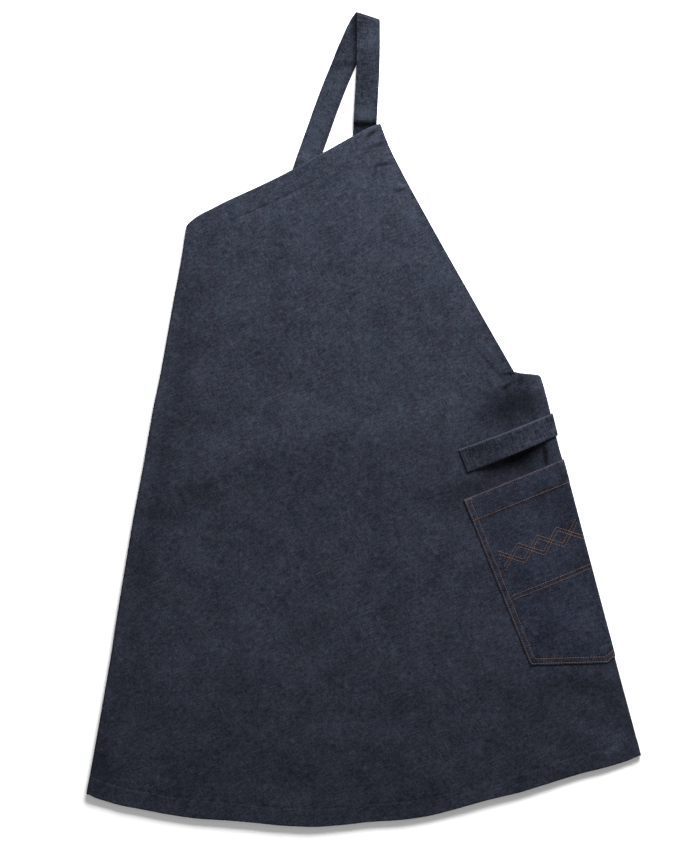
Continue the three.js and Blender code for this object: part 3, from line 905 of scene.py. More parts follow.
@dataclass
class ApronBody:
    """The body: left back panel, left fold, front, right fold, right back panel."""

    plan: BodyPlan
    facing: float = 29.5
    side_hem: float = 19.5
    hem: float = 23.0
    back_inset: float = 14.0
    grain: float = math.radians(22)
    front_ribs: int = 150
    middle_rows: int = 132
    edge_steps: tuple[float, ...] = (0.0, 0.5, 1.4, 3.0, 6.0, 9.5, 13.0)
    seam_steps: tuple[float, ...] = (-4.0, -2.0, -1.1, -0.4, 0.4, 1.1, 2.2)
    fold_angles: tuple[float, ...] = (-78, -62, -46, -30, -15, 0, 15, 30, 46, 62, 78)
    corner_drop: tuple[float, float] = (3.4, 1.6)
    # Painted shade and light on the body: darker patches where folds, the hollow by the notch and the
    # loop's shadow fall, paler ones on lit rises, and brighter at the top fading darker towards the
    # hem.
    painted_shading: tuple[SoftFold, ...] = soft_folds(
        (199, 20, -14, 34, 27, -0.66), (204, -50, 20, 36, 14, -0.72), (170, 5, 35, 26, 18, -0.3),
        (210, 40.5, -3, 22, 4, 0.22), (150, -80, 18, 48, 13, -0.24), (222, -62, 15, 28, 12, -0.35),
        (-269, -126, -12, 27, 15, -0.38), (-280, -197, -10, 28, 15, -0.24),
        (-287, -215, 80, 90, 22, -0.1), (-222, -112, 12, 34, 12, -0.24),
        (-196, -83, 20, 34, 10, -0.24), (-170, -134, -5, 52, 16, -0.2),
        (-42, -114, 3, 58, 18, -0.22), (112, -98, 6, 78, 16, -0.25), (272, -347, 2, 58, 15, -0.42),
        (326, -376, -50, 38, 13, -0.24), (332, -426, 10, 28, 11, 0.2),
        (300, -404, -14, 34, 14, 0.26), (170, -338, 0, 24, 16, -0.13),
        (82, 211, -59, 88, 13, -0.19), (146, 108, -57, 52, 12, -0.15), (8, 36, 10, 85, 30, 0.07),
        (-232, 66, 80, 38, 16, -0.22), (-208, 185, 75, 48, 22, -0.15),
        (-100, 206, 0, 32, 12, -0.1), (-256, -27, 60, 24, 11, -0.2),
        (-341, -440, 80, 40, 10, -0.3), (-90, -486, 0, 44, 10, 0.08), (0, 330, 0, 420, 190, 0.05),
        (0, -460, 0, 500, 180, -0.12),
    )
    seam_shown: tuple[tuple[float, float], ...] = (
        (0.0, 0.55), (0.08, 0.75), (0.14, 1.0), (0.4, 1.0), (0.46, 0.7), (0.64, 0.7), (0.68, 0.0),
        (0.93, 0.0), (0.95, 0.8), (1.0, 0.8),
    )

    def rows(self, top: Array, hem: Array, depth: Array) -> tuple[Array, Array, Array]:
        """Heights of the grid's rows on every rib.

        Args:
            top: Y of the top edge, rib by rib.
            hem: Y of the hem, rib by rib.
            depth: Depth of the facing's seam, rib by rib.

        Returns:
            Y of every row, its distance below the top edge, and above the hem.
        """
        first = [np.full_like(top, d) for d in self.edge_steps]
        first += [(depth + self.edge_steps[-1] + self.seam_steps[0]) / 2]
        first += [depth + d for d in self.seam_steps]
        last = [np.full_like(top, d) for d in self.edge_steps]
        last += [np.full_like(top, self.hem + d) for d in self.seam_steps]
        down = [top - d for d in first]
        up = [hem + d for d in reversed(last)]
        shares = np.linspace(0, 1, self.middle_rows + 2)[1:-1]
        middle = [mix(down[-1], up[0], s) for s in shares]
        y = np.stack(down + middle + up, -1)
        return y, top[:, None] - y, y - hem[:, None]

    def shown(self, across: Array) -> Array:
        """How clearly the facing's seam shows on a rib, 0 to 1."""
        return np.interp(across, *zip(*self.seam_shown))

    def relief(self, top: Array, hem: Array, depth: Array, shown: Array
               ) -> tuple[Array, Array, Array]:
        """Raised bands, rounded edges, thickness and seam distance.

        Args:
            top: Distances below the top edge.
            hem: Distances above the hem.
            depth: Depth of the facing's seam on each rib.
            shown: How clearly the facing's seam shows on each rib.

        Returns:
            Height to add, share of the doubled thickness, and signed seam distance.
        """
        from_facing, from_hem = top - depth, hem - self.hem
        raised = 0.32 * shown * (1 - smooth(from_facing + 1.2, 2.4))
        raised = raised + 0.35 * (1 - smooth(from_hem + 1.2, 2.4))
        groove = 0.14 * shown * np.exp(-((from_facing / 1.3) ** 2))
        groove = groove + 0.16 * np.exp(-((from_hem / 1.3) ** 2))
        rise = raised - groove + rounded_edge(top) + rounded_edge(hem)
        doubled = np.where((from_facing < 0.3) | (from_hem < 0.3), 1.0, 0.5)
        weight = doubled * np.minimum(edge_weight(top), edge_weight(hem))
        faded = np.abs(from_facing) + 9.0 * (1 - shown)
        seam = np.where(faded < np.abs(from_hem), faded, from_hem)
        return rise, weight, np.clip(seam, -30, 30)

    def grain_of(self, x: Array, y: Array) -> Array:
        """Cloth coordinates, turned to the grain, of an unfolded plan point."""
        c, s = math.cos(self.grain), math.sin(self.grain)
        return np.stack([x * c + y * s, y * c - x * s], -1)

    def columns(self) -> dict[str, Array]:
        """Describe every rib of the grid, from the left slit edge to the right one.

        Returns:
            Arrays of each rib's side, share across, fold angle, top, hem and seam depth.
        """
        plan = self.plan
        left = np.concatenate([np.linspace(0.45, 0.05, 30), [0.036, 0.024, 0.014, 0.006, 0.0]])
        front = np.unique(np.concatenate([
            np.linspace(0, 1, self.front_ribs), [plan.peak, plan.notch, 0.003, 0.012, 0.99],
        ]))
        right = np.concatenate([[1.0, 0.993, 0.984, 0.972, 0.955], np.linspace(0.935, 0.468, 32)])
        angles = np.array(self.fold_angles, dtype=float)
        across = np.concatenate([left, angles * 0, front, angles * 0 + 1, right])
        side = np.concatenate([left * 0, angles * 0 + 1, front * 0 + 2, angles * 0 + 3,
                               right * 0 + 4])
        angle = np.concatenate([left * 0, angles, front * 0, angles[::-1], right * 0])
        top, hem = plan.top_y(across), plan.hem_y(across)
        hidden_left = (side == 0) * self.back_inset * smooth(across, 0.08)
        hidden_right = (side == 4) * self.back_inset * smooth(1 - across, 0.08)
        top = np.where(side == 4, plan.height_of(plan.wing_top.at(across)), top - hidden_left)
        hem = hem + hidden_left + hidden_right
        cut = (side == 1) * self.corner_drop[0] + (side == 3) * self.corner_drop[1]
        top = top - cut * np.cos(np.radians(angle))
        narrow = smooth(across - 0.66, 0.05)
        depth = mix(self.facing, self.side_hem, np.where(side == 4, 1.0, narrow))
        return {"side": side, "across": across, "angle": np.radians(angle), "top": top,
                "hem": hem, "depth": depth, "shown": self.shown(across)}

    def place(self, x: Array, y: Array, above: float) -> Array:
        """Point on the front's outer face, with the bands' relief.

        Args:
            x: Plan positions across.
            y: Plan positions along.
            above: Distance above the face.

        Returns:
            Points as an array whose last axis is x, y, z.
        """
        across = self.plan.across_at(x, y)
        top, hem = self.plan.top_y(across) - y, y - self.plan.hem_y(across)
        rise, _, _ = self.relief(top, hem, np.full_like(top, self.facing), self.shown(across))
        return np.stack([x, y, self.plan.front_lift(x, y) + rise + above], -1)

    def build(self) -> bpy.types.Object:
        """Make the body as one sheet, folded at both sides."""
        plan, rib = self.plan, self.columns()
        y, from_top, from_hem = self.rows(rib["top"], rib["hem"], rib["depth"])
        side, across, angle, depth, shown = (
            rib[k][:, None] for k in ("side", "across", "angle", "depth", "shown")
        )
        rise, weight, seam = self.relief(from_top, from_hem, depth, shown)
        left, right = plan.left_tangent(y), plan.right_tangent(y)
        flat_x = plan.rib_x(across, y)
        roll_left = plan.left_radius + rise
        roll_right = plan.right_radius + rise
        base = plan.wing_lift(right, y)
        front_z = plan.front_lift(flat_x, y) + rise
        xs = [flat_x, left - roll_left * np.cos(angle) / math.cos(plan.left_lean), flat_x,
              right + roll_right * np.cos(angle) / math.cos(plan.right_lean), flat_x]
        below = 0.25 * (1 - np.sin(angle)) / 2
        swell = rise * np.sin(angle) * np.where(angle > 0, 1.0, 0.5) + below
        hidden = 0.25 - 0.5 * rise
        zs = [0 * y + hidden, plan.left_radius * (1 + np.sin(angle)) + swell, front_z,
              base + plan.right_radius * (1 + np.sin(angle)) + swell,
              plan.wing_lift(flat_x, y) + hidden]
        x = np.select([side == k for k in range(5)], xs)
        z = np.select([side == k for k in range(5)], zs)
        points = np.stack([x, y, z], -1)
        behind = math.pi / 2 - angle
        inside_left, inside_right = plan.from_left(flat_x, y), plan.from_right(flat_x, y)
        out_left = self.unrolled(side == 0, side == 1, inside_left, behind, plan.left_radius)
        out_right = self.unrolled(side == 4, side == 3, inside_right, behind, plan.right_radius)
        ux = flat_x - math.cos(plan.left_lean) * out_left + math.cos(plan.right_lean) * out_right
        uy = y + math.sin(plan.left_lean) * out_left + math.sin(plan.right_lean) * out_right
        # Rubbed edges, plus the painted shade and light of the patches.
        worn = self.worn(from_top, from_hem) + sum(s.at(flat_x, y) for s in self.painted_shading)
        grain = self.grain_of(ux, uy)
        piece = Sheet("apron_body", points, grain, weight, seam, worn).build()
        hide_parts(Node.BODY.value)
        return piece

    @staticmethod
    def unrolled(flat: Array, rolled: Array, inside: Array, turned: Array, radius: float
                 ) -> Array:
        """Length of cloth between a fold's tangent line and a place behind or on the roll."""
        return np.select([flat, rolled], [2 * inside + math.pi * radius, turned * radius], 0)

    @staticmethod
    def worn(top: Array, hem: Array) -> Array:
        """How pale the cloth is rubbed at its turned edges."""
        return 0.25 * np.exp(-((np.minimum(top, hem) / 1.6) ** 2))

    def stitching(self) -> Stitching:
        """Tone-on-tone stitches along the facing, the hem and the strap's seam."""
        plan = self.plan
        rows = Stitching("body_stitching", Thread(0.5, 2.8, 3.6, 0.2), self.place)
        across = np.linspace(0.012, 0.62, 60)
        rows.rows.append(self.on_ribs(across, lambda a: plan.top_y(a) - self.facing))
        across = np.linspace(0.004, 0.996, 90)
        rows.rows.append(self.on_ribs(across, lambda a: plan.hem_y(a) + self.hem))
        rows.add((-12.0, 354.0), (-2.0, 359.5), (3.0, 361.7))
        rows.add((4.0, 366.8), (11.0, 370.0), (18.0, 373.2))
        return rows

    def on_ribs(self, across: Array, height: Callable[[Array], Array]) -> Array:
        """Plan points on ribs at a height that depends on the rib."""
        y = height(across)
        return np.stack([self.plan.rib_x(across, y), y], -1)


@dataclass
class Slanted:
    """Cloth laid on the front at the pocket's slant and wrapped round the right fold."""

    plan: BodyPlan
    slant: float = math.radians(22)
    gap: float = 0.3

    @property
    def along(self) -> Array:
        """Direction along the slant."""
        return np.array([math.cos(self.slant), math.sin(self.slant)])

    @property
    def down(self) -> Array:
        """Direction down the pocket's sides."""
        return np.array([math.sin(self.slant), -math.cos(self.slant)])

    def spot(self, corner: Array, u: Array, v: Array) -> tuple[Array, Array]:
        """Plan point of cloth coordinates counted from a corner."""
        u, v = np.asarray(u, dtype=float), np.asarray(v, dtype=float)
        return (
            corner[0] + u * self.along[0] + v * self.down[0],
            corner[1] + u * self.along[1] + v * self.down[1],
        )

    def to_fold(self, x: Array, y: Array) -> Array:
        """Distance along the slant from a plan point to the right fold."""
        toward = math.cos(self.slant - self.plan.right_lean)
        return self.plan.from_right(x, y) / toward

    @property
    def round(self) -> float:
        """Length of cloth that rolls round the right fold, along the slant."""
        turn = self.plan.right_radius + self.gap
        return math.pi * turn / math.cos(self.slant - self.plan.right_lean)


@dataclass
class SidePocket(Slanted):
    """Patch pocket with a wide hem at its mouth and a pointed bottom."""

    width: float = 190.0
    side: float = 232.0
    point: float = math.radians(20.4)
    mouth_hem: float = 30.0
    lift: float = 5.4
    corner: tuple[float, float] = (129.4, -104.6)
    inner_row: float = 2.2
    outer_row: float = 8.4
    double_row: float = 5.2
    # Painted shade along the soft folds beside and over the pocket.
    painted_shading: tuple[SoftFold, ...] = soft_folds(
        (262, -135, -75, 66, 26, -0.32), (190, -100, 21, 70, 16, -0.2),
        (240, -98, 21, 40, 24, -0.18), (300, -250, -75, 60, 16, -0.12),
    )

    def length(self, u: Array) -> Array:
        """Length of the pocket from its mouth at a place across it."""
        to_side = self.width / 2 - np.abs(np.asarray(u) - self.width / 2)
        return self.side + to_side * math.tan(self.point)

    def clear(self, u: Array, v: Array) -> Array:
        """Air between the front and the pocket's cloth."""
        x, y = self.spot(self.corner, u, v)
        free = smooth(u - 6, 52) * smooth(self.to_fold(x, y) - 2, 75)
        free = free * smooth(self.length(u) - v - 8, 60)
        sag = Undulation(5, 70.0, 0.22).at(u, v) + Undulation(6, 28.0, 0.06).at(u, v)
        front = smooth(self.to_fold(x, y) - 4, 14)
        sag = sag * smooth(u, 12) * smooth(self.length(u) - v, 14) * front
        return self.gap + self.lift * free + sag

    def edges(self, u: Array, v: Array) -> Array:
        """Distance to the nearest cut edge of the pocket."""
        bottom = (self.length(u) - v) * math.cos(self.point)
        return np.minimum(np.minimum(u, self.width - u), np.minimum(v, bottom))

    def seam(self, u: Array, v: Array) -> Array:
        """Signed distance to the nearest row of stitches."""
        bottom = (self.length(u) - v) * math.cos(self.point)
        rows = [u - self.inner_row, u - self.outer_row, bottom - self.inner_row,
                bottom - self.outer_row, v - self.mouth_hem, v - 1.4]
        stack = np.stack(np.broadcast_arrays(*rows), 0)
        pick = np.argmin(np.abs(stack), 0)
        return np.clip(np.take_along_axis(stack, pick[None], 0)[0], -30, 30)

    def outer(self, u: Array, v: Array) -> Array:
        """Distance of the pocket's outer face from the body's outer face."""
        band = smooth(self.mouth_hem + 2.0 - v, 1.4)
        near = self.seam(u, v)
        x, y = self.spot(self.corner, u, v)
        puff = 0.22 * smooth(self.inner_row + self.outer_row - u, 3.0)
        band = band * (0.6 + 0.4 * smooth(self.to_fold(x, y) + 4, 8))
        groove = -0.25 * np.exp(-((near / 1.1) ** 2))
        return self.clear(u, v) + 1.2 + 0.7 * band + puff + groove + rounded_edge(
            self.edges(u, v), 0.7
        )

    def place(self, u: Array, v: Array, above: float) -> Array:
        """Point above the pocket's outer face at cloth coordinates."""
        x, y = self.spot(self.corner, u, v)
        return self.plan.wrap_right(x, y, self.outer(np.asarray(u), np.asarray(v)) + above)

    def across(self, v: Array) -> Array:
        """Places of the grid's columns across the pocket at given heights.

        Args:
            v: Distances down from the mouth.

        Returns:
            One row of places for each height.
        """
        middle = self.width / 2
        x, y = self.spot(self.corner, middle, v)
        fold = (middle + self.to_fold(x, y))[:, None]
        rim = np.array([0.0, 0.4, 1.0, 1.7, 2.8, 4.2, 6.0, 7.6, 8.7, 9.8, 11.5])
        front = np.concatenate([rim, np.linspace(14, middle, 26)])[None, :] + 0 * fold
        mid = fold * 0 + middle + (fold - middle) * np.linspace(0, 1, 16)[None, 1:]
        turn = fold + self.round * np.linspace(0, 1, 13)[None, 1:]
        end = fold + self.round
        tail = end + (self.width - end) * np.array([0.1, 0.25, 0.4, 0.55, 0.7, 0.82, 0.91,
                                                    0.96, 0.985, 0.993, 1.0])[None, :]
        return np.concatenate([front, mid, turn, tail], 1)

    def build(self) -> bpy.types.Object:
        """Make the pocket as one sheet."""
        rim = np.array([0.0, 0.4, 1.0, 1.7, 2.8, 5.0, 9.0, 13.5, 18.0, 22.5, 26.5, 28.4, 29.4,
                        30.0, 30.6, 31.3, 32.2])
        down = np.linspace(35, self.side - 13, 62)
        low = np.array([-11, -9.8, -8.7, -7.6, -6.0, -4.2, -2.8, -1.7, -1.0, -0.4, 0.0])
        v0 = np.concatenate([rim, down, low / math.cos(self.point) + self.side])
        u = self.across(v0)
        stretch = smooth(v0 - 60, self.side - 75)[:, None]
        v = v0[:, None] + (self.length(u) - self.side) * stretch
        for _ in range(2):
            u = np.stack([self.across(v[:, i])[:, i] for i in range(u.shape[1])], 1)
            v = v0[:, None] + (self.length(u) - self.side) * stretch
        u, v = u.T, v.T
        points = self.place(u, v, 0.0)
        doubled = np.where(v < self.mouth_hem + 0.3, 0.95, 0.5)
        weight = doubled * edge_weight(self.edges(u, v))
        grain = np.stack([u, -v], -1)
        worn = 0.3 * np.exp(-((self.edges(u, v) / 1.3) ** 2))
        # Plus the pocket's painted shade.
        worn = worn + sum(painted_patch.at(*self.spot(self.corner, u, v)) for painted_patch in self.painted_shading)
        piece = Sheet("side_pocket_cloth", points, grain, weight, self.seam(u, v), worn).build()
        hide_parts(Node.POCKET.value)
        return piece

    def stitching(self) -> Stitching:
        """Rust rows round the pocket, its bartack and a plain diamond band."""
        rows = Stitching("pocket_stitching", Thread(), self.place)
        slope = math.tan(self.point)
        far = self.width - 3.0
        for inset in (self.inner_row, self.outer_row):
            drop = inset / math.cos(self.point)
            middle = self.width / 2
            low_left = self.side - drop + inset * slope
            rows.add((inset, 1.4), (inset, low_left))
            rows.add((inset, low_left), (middle, self.side + middle * slope - drop))
            rows.add((middle, self.side + middle * slope - drop), (far, self.side - drop + 3 * slope))
        rows.add((1.6, 1.4), (far, 1.4))
        rows.add((self.inner_row, self.mouth_hem), (far, self.mouth_hem))
        for k in range(7):
            rows.add((1.4 + 1.5 * k, 0.9), (1.4 + 1.5 * k, 4.6))
        self.diamonds(rows)
        return rows

    def diamonds(self, rows: Stitching) -> None:
        """Two crossing zigzags over a straight double row."""
        start, end, half, tall, top, low = 16.0, 118.0, 27.5, 23.0, 92.0, 142.0
        for offset in (-self.double_row / 2, self.double_row / 2):
            for sign in (-1, 1):
                points = []
                count = 2 * int((end - start) / (2 * half) + 0.999)
                for k in range(count + 1):
                    turn = sign if k % 2 else -sign
                    points.append((start + k * half, top + turn * tall / 2 + offset))
                rows.add(*points)
            rows.add((start - 4.0, low + offset), (end + 8.0, low + offset))


@dataclass
class TowelLoop(Slanted):
    """Doubled band sewn down at its left end, standing off the front."""

    slant: float = math.radians(21)
    width: float = 29.6
    flare: float = 0.095
    tail: float = 38.0
    lift: float = 7.0
    sag: float = 1.0
    corner: tuple[float, float] = (123.2, -39.2)
    profile: Curve = Curve(
        (
            (0.0, 0.0), (0.085, 0.0), (0.16, 0.2), (0.24, 0.46), (0.34, 0.78), (0.46, 0.97),
            (0.58, 1.0), (0.7, 0.86), (0.8, 0.58), (0.88, 0.28), (0.95, 0.06), (1.0, 0.0),
        )
    )

    def outer(self, u: Array, v: Array) -> Array:
        """Distance of the loop's outer face from the body's outer face."""
        x, y = self.spot(self.corner, u, v)
        reach = u + self.to_fold(x, y)
        lift = self.profile.at(np.clip(u / reach, 0, 1))
        tilt = mix(0.8, 1.08, v / self.width)
        edge = np.minimum(np.minimum(v, self.width - v), u)
        crown = 0.25 * smooth(np.minimum(v, self.width - v), 9) * smooth(reach - u, 10)
        return self.gap + self.lift * lift * tilt + 2.4 + crown + rounded_edge(edge, 0.9)

    def place(self, u: Array, v: Array, above: float) -> Array:
        """Point above the loop's outer face at cloth coordinates."""
        u, v = np.broadcast_arrays(np.asarray(u, dtype=float), np.asarray(v, dtype=float))
        x, y = self.spot(self.corner, u, v)
        share = np.clip(u / (u + self.to_fold(x, y)), 0, 1)
        down = v * (1 + self.flare * (1 - share)) + self.sag * np.sin(math.pi * share)
        x, y = self.spot(self.corner, u, down)
        return self.plan.wrap_right(x, y, self.outer(u, v) + above)

    def build(self) -> bpy.types.Object:
        """Make the loop as one sheet."""
        v = np.concatenate([[0.0, 0.5, 1.4, 3.0], np.linspace(5.2, self.width - 5.2, 10),
                            self.width - np.array([3.0, 1.4, 0.5, 0.0])])
        x, y = self.spot(self.corner, 0.0, v)
        fold = self.to_fold(x, y)[None, :]
        rim = np.array([0.0, 0.5, 1.4, 2.6, 4.2, 6.5, 9.0, 11.4, 12.6, 14.0])[:, None] + 0 * fold
        front = 14 + (fold - 14) * np.linspace(0, 1, 60)[1:, None]
        turn = fold + self.round * np.linspace(0, 1, 13)[1:, None]
        tail = fold + self.round + (self.tail - self.round) * np.linspace(0, 1, 10)[1:, None]
        u = np.concatenate([rim, front, turn, tail], 0)
        v = np.broadcast_to(v[None, :], u.shape)
        points = self.place(u, v, 0.0)
        edge = np.minimum(np.minimum(v, self.width - v), u)
        seam = np.where(np.abs(u - 2.6) < np.abs(u - 11.7), u - 2.6, u - 11.7)
        grain = np.stack([-v, u], -1)
        # Pale rubbed edges and left end. The top edge's stronger paleness is a painted highlight; the
        # darker band near the top and the paler lower half are painted shade and light.
        worn = 0.9 * np.exp(-((v / 1.5) ** 2)) + 0.25 * np.exp(-(((self.width - v) / 1.2) ** 2))
        worn = worn + 0.5 * np.exp(-((u / 1.3) ** 2)) + 0.08 * smooth(v - 12, 8)
        worn = worn - 0.12 * np.exp(-(((v - 8) / 5) ** 2))
        piece = Sheet("towel_loop_cloth", points, grain, edge_weight(edge), np.clip(seam, -30, 30),
                      worn).build()
        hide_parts(Node.LOOP.value)
        return piece

    def stitching(self) -> Stitching:
        """Box of tone-on-tone stitches that holds the loop's left end."""
        rows = Stitching("loop_stitching", Thread(0.5, 2.6, 3.3, 0.15), self.place)
        rows.add((2.6, 2.2), (2.6, self.width - 2.2))
        rows.add((11.7, 2.2), (11.7, self.width - 2.2))
        rows.add((2.6, 2.2), (11.7, 2.2))
        rows.add((2.6, self.width - 2.2), (11.7, self.width - 2.2))
        return rows


@dataclass
class ShoulderStrap:
    """Doubled band: an upper leg, a rolled fold at the top and a lower leg."""

    plan: BodyPlan
    width: float = 30.4
    thick: float = 2.4
    crease: float = math.radians(-18)
    radius: float = 4.2
    samples: int = 120
    upper: tuple[tuple[float, float, float, float], ...] = (
        (0.6, -40.9, 0.3, 0), (1.2, -16.8, 0.3, 0), (1.5, -8.8, 1.2, 0), (1.75, -1.2, 3.2, 0),
        (1.8, 0.6, 5.6, 0), (1.9, 2.9, 8.0, 0), (2.1, 7.3, 9.0, 0), (2.8, 20.4, 9.3, 0),
        (3.6, 36.5, 8.6, 0), (5.0, 61.3, 7.4, 0), (5.5, 75.0, 7.0, 0), (5.8, 87.6, 7.5, -1),
        (6.0, 98.6, 8.3, -3), (6.05, 108.0, 8.6, -5), (6.05, 122.6, 8.4, -11),
    )
    # Painted shade and light: darker where the legs bend, near the fold and where the strap dips
    # under the peak, paler on lit stretches and over that dip's shadowed slope.
    painted_shading: tuple[SoftFold, ...] = soft_folds(
        (3, 366, 0, 30, 5, -0.3), (-12, 505, 68, 26, 14, -0.35), (-20, 462, 0, 18, 6, -0.25),
        (-44, 430, 68, 60, 16, 0.2), (-66, 366, 68, 30, 20, 0.4), (2, 397, 0, 20, 11, 0.42),
        (8, 496, 90, 30, 22, 0.25), (0, 450, 90, 20, 12, -0.3),
    )
    lower: tuple[tuple[float, float, float, float], ...] = (
        (-3.3, 129.1, 0, -23), (-10.4, 115.0, 0.7, -28), (-14.6, 105.0, 1.6, -26),
        (-20.4, 92.4, 0.9, -24.5), (-26.5, 76.5, 0, -23), (-36.7, 51.8, 0.8, -21.3),
        (-48.6, 20.6, 0, -20), (-59.7, -10.7, 0, -19.5), (-68.8, -36.2, 0, -19),
        (-74.0, -51.4, 2.75, -18.5), (-82.5, -76.9, 2.75, -18.3),
    )

    def leg(self, rows: tuple[tuple[float, float, float, float], ...], ends: Array) -> Array:
        """Sample a leg smoothly through its named sections.

        Args:
            rows: Sections: side, up from the peak, underside and turn.
            ends: Section of the top fold that the leg meets, as x, y, z, turn.

        Returns:
            Samples of x, y, z and turn along the leg.
        """
        peak = float(self.plan.height_of(1.0))
        table = np.array([(x, peak + up, lift + self.thick / 2, math.radians(turn))
                          for x, up, lift, turn in rows])
        table = np.vstack([table, ends]) if rows is self.upper else np.vstack([ends, table])
        run = run_length(table[:, :3])
        at = np.linspace(0, run[-1], self.samples)
        return np.stack([monotone(run, table[:, k], at) for k in range(4)], -1)

    def centres(self) -> Array:
        """Centre line of the whole strap as x, y, z and turn."""
        peak = float(self.plan.height_of(1.0))
        along = np.array([math.cos(self.crease), math.sin(self.crease)])
        out = np.array([-math.sin(self.crease), math.cos(self.crease)])
        middle = np.array([5.66, peak + 0.966 * self.plan.strap_rise])
        middle = middle - out * (self.radius + self.thick / 2)
        angle = np.radians(np.linspace(90, -90, 25))[:, None]
        flat = middle + out * self.radius * np.cos(angle)
        flat = flat - along * math.tan(self.crease) * self.radius * angle
        z = self.thick / 2 + self.radius * (1 + np.sin(angle))
        fold = np.hstack([flat, z, np.full_like(z, self.crease)])
        upper, lower = self.leg(self.upper, fold[:1]), self.leg(self.lower, fold[-1:])
        return np.vstack([upper[:-1], fold, lower[1:]])

    def build(self) -> bpy.types.Object:
        """Make the strap as one sheet."""
        line = self.centres()
        centre, turn = line[:, :3], line[:, 3]
        across = np.stack([np.cos(turn), np.sin(turn), 0 * turn], -1)
        travel = np.gradient(centre, axis=0)
        travel /= np.linalg.norm(travel, axis=1)[:, None]
        square = travel - across * np.sum(travel * across, 1)[:, None]
        half = self.width / 2 / np.linalg.norm(square, axis=1)
        normal = np.cross(across, travel)
        normal /= np.linalg.norm(normal, axis=1)[:, None]
        offset = np.array([0.0, 0.5, 1.4, 2.6, 4.0, 6.5, 9.5, 12.5])
        share = np.concatenate([offset - self.width / 2, [0.0], self.width / 2 - offset[::-1]])
        rim = self.width / 2 - np.abs(share)
        rise = self.thick / 2 + rounded_edge(rim, 0.9) - 0.15 * np.exp(-(((rim - 2.6) / 0.8) ** 2))
        wide = half[:, None] * share[None, :] / (self.width / 2)
        points = centre[:, None] + across[:, None] * wide[..., None]
        points = points + normal[:, None] * rise[None, :, None]
        run = run_length(centre)
        grain = np.stack(np.broadcast_arrays(share[None, :], run[:, None]), -1)
        weight = np.broadcast_to(edge_weight(rim)[None, :], wide.shape)
        seam = np.broadcast_to((rim - 2.6)[None, :] * 4.0, wide.shape)
        worn = 0.3 * np.exp(-((rim / 1.2) ** 2))[None, :] + 0.0 * wide
        # Plus the strap's painted shade and light.
        worn = worn + sum(painted_patch.at(points[..., 0], points[..., 1]) for painted_patch in self.painted_shading)
        piece = Sheet("shoulder_strap_band", points, grain, weight, seam, worn).build()
        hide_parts(Node.STRAP.value)
        return piece


# Stage


@dataclass(frozen=True)
class Lamp:
    """One rectangular soft light, in metres and watts."""

    name: str
    spot: tuple[float, float, float]
    aim: tuple[float, float, float]
    size: tuple[float, float]
    power: float

    def build(self) -> None:
        """Add the light to the scene."""
        light = bpy.data.lights.new(self.name, "AREA")
        light.shape = "RECTANGLE"
        light.size, light.size_y = self.size
        light.energy = self.power
        holder = linked(self.name, light)
        holder.location = self.spot
        toward = Vector(self.aim) - Vector(self.spot)
        holder.rotation_euler = toward.to_track_quat("-Z", "Y").to_euler()


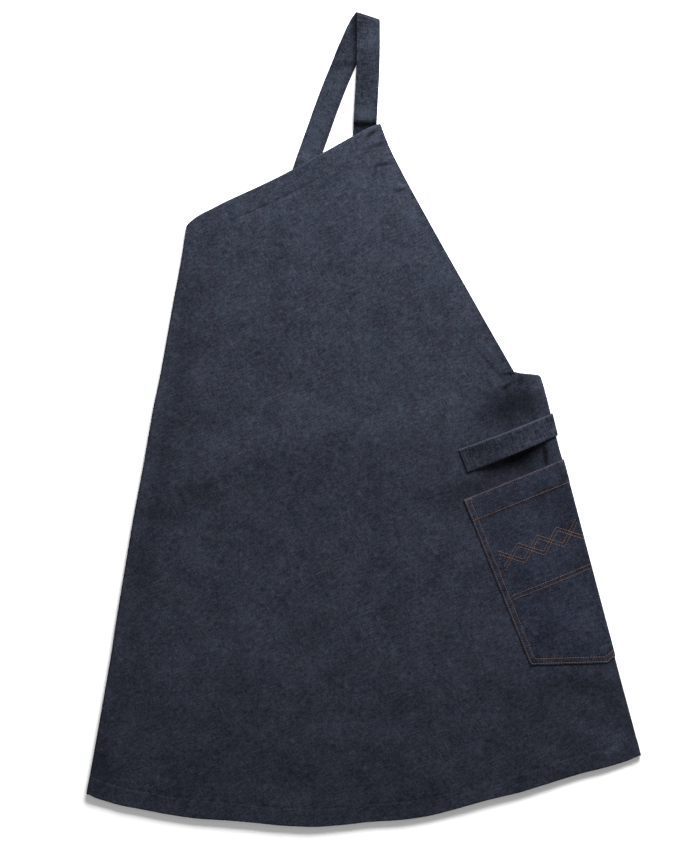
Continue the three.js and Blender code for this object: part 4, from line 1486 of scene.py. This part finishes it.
@dataclass(frozen=True)
class Studio:
    """Pale floor, soft light from beyond the strap, a weak fill and a camera straight above.

    The camera stands over the centre, and frame_width shows at the height of the cloth's face.
    """

    frame_width: float = 910.0
    centre: tuple[float, float] = (-17.8, -1.7)
    height: float = 5100.0
    face: float = 5.0
    sky: float = 0.22
    floor_size: float = 4.0
    floor_level: float = -0.3
    lamps: tuple[Lamp, ...] = (
        Lamp("key", (0.55, 1.62, 0.98), (0.0, 0.05, 0.0), (1.6, 0.8), 147.0),
        Lamp("fill", (-0.3, -1.9, 1.5), (0.0, -0.3, 0.0), (2.0, 1.0), 13.0),
    )

    def floor(self) -> None:
        """A plain pale floor."""
        bm = bmesh.new()
        bmesh.ops.create_grid(bm, x_segments=1, y_segments=1, size=self.floor_size)
        mesh = bpy.data.meshes.new("floor")
        bm.to_mesh(mesh)
        bm.free()
        for vert in mesh.vertices:
            vert.co.z = self.floor_level * MM
        sketch = Sketch.begin("pale_floor")
        sketch.shader.inputs["Base Color"].default_value = (0.93, 0.93, 0.93, 1.0)
        sketch.shader.inputs["Roughness"].default_value = 0.9
        sketch.shader.inputs["Specular IOR Level"].default_value = 0.1
        mesh.materials.append(sketch.material)
        linked("floor", mesh)

    def build(self) -> None:
        """Set up the floor, the lights, the world and the camera."""
        scene = bpy.context.scene
        self.floor()
        for lamp in self.lamps:
            lamp.build()
        world = bpy.data.worlds.new("studio")
        world.use_nodes = True
        world.node_tree.nodes["Background"].inputs["Color"].default_value = (1, 1, 1, 1)
        world.node_tree.nodes["Background"].inputs["Strength"].default_value = self.sky
        scene.world = world
        scene.view_settings.view_transform = "Standard"
        camera = bpy.data.cameras.new("camera")
        camera.sensor_fit = "HORIZONTAL"
        camera.sensor_width = 36.0
        camera.lens = camera.sensor_width * (self.height - self.face) / self.frame_width
        holder = linked("camera", camera)
        holder.location = (self.centre[0] * MM, self.centre[1] * MM, self.height * MM)
        scene.camera = holder


def flat_area(piece: bpy.types.Object) -> float:
    """Area of one face of a sheet, in square metres."""
    return sum(face.area for face in piece.data.polygons)


def main() -> None:
    """Build the apron, dress it, and set the stage."""
    logging.basicConfig(level=logging.INFO, format="%(name)s %(message)s")
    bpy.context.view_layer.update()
    plan, finish = BodyPlan(), Finishes()
    navy, rust = finish.navy.build(), finish.rust.build()

    body = ApronBody(plan)
    body_cloth = body.build()
    dress(body_cloth, finish.body.build())
    body_thread = body.stitching().build()
    dress(body_thread, navy)

    strap = ShoulderStrap(plan).build()
    dress(strap, finish.strap.build())

    pocket = SidePocket(plan)
    pocket_cloth = pocket.build()
    dress(pocket_cloth, finish.pocket.build())
    pocket_thread = pocket.stitching().build()
    dress(pocket_thread, rust)

    loop = TowelLoop(plan)
    loop_cloth = loop.build()
    dress(loop_cloth, finish.loop.build())
    loop_thread = loop.stitching().build()
    dress(loop_thread, navy)

    for piece in (body_cloth, strap, pocket_cloth, loop_cloth):
        LOG.info("%s: %.4f square metres", piece.name, flat_area(piece))

    Studio().build()


if __name__ == "__main__":
    main()
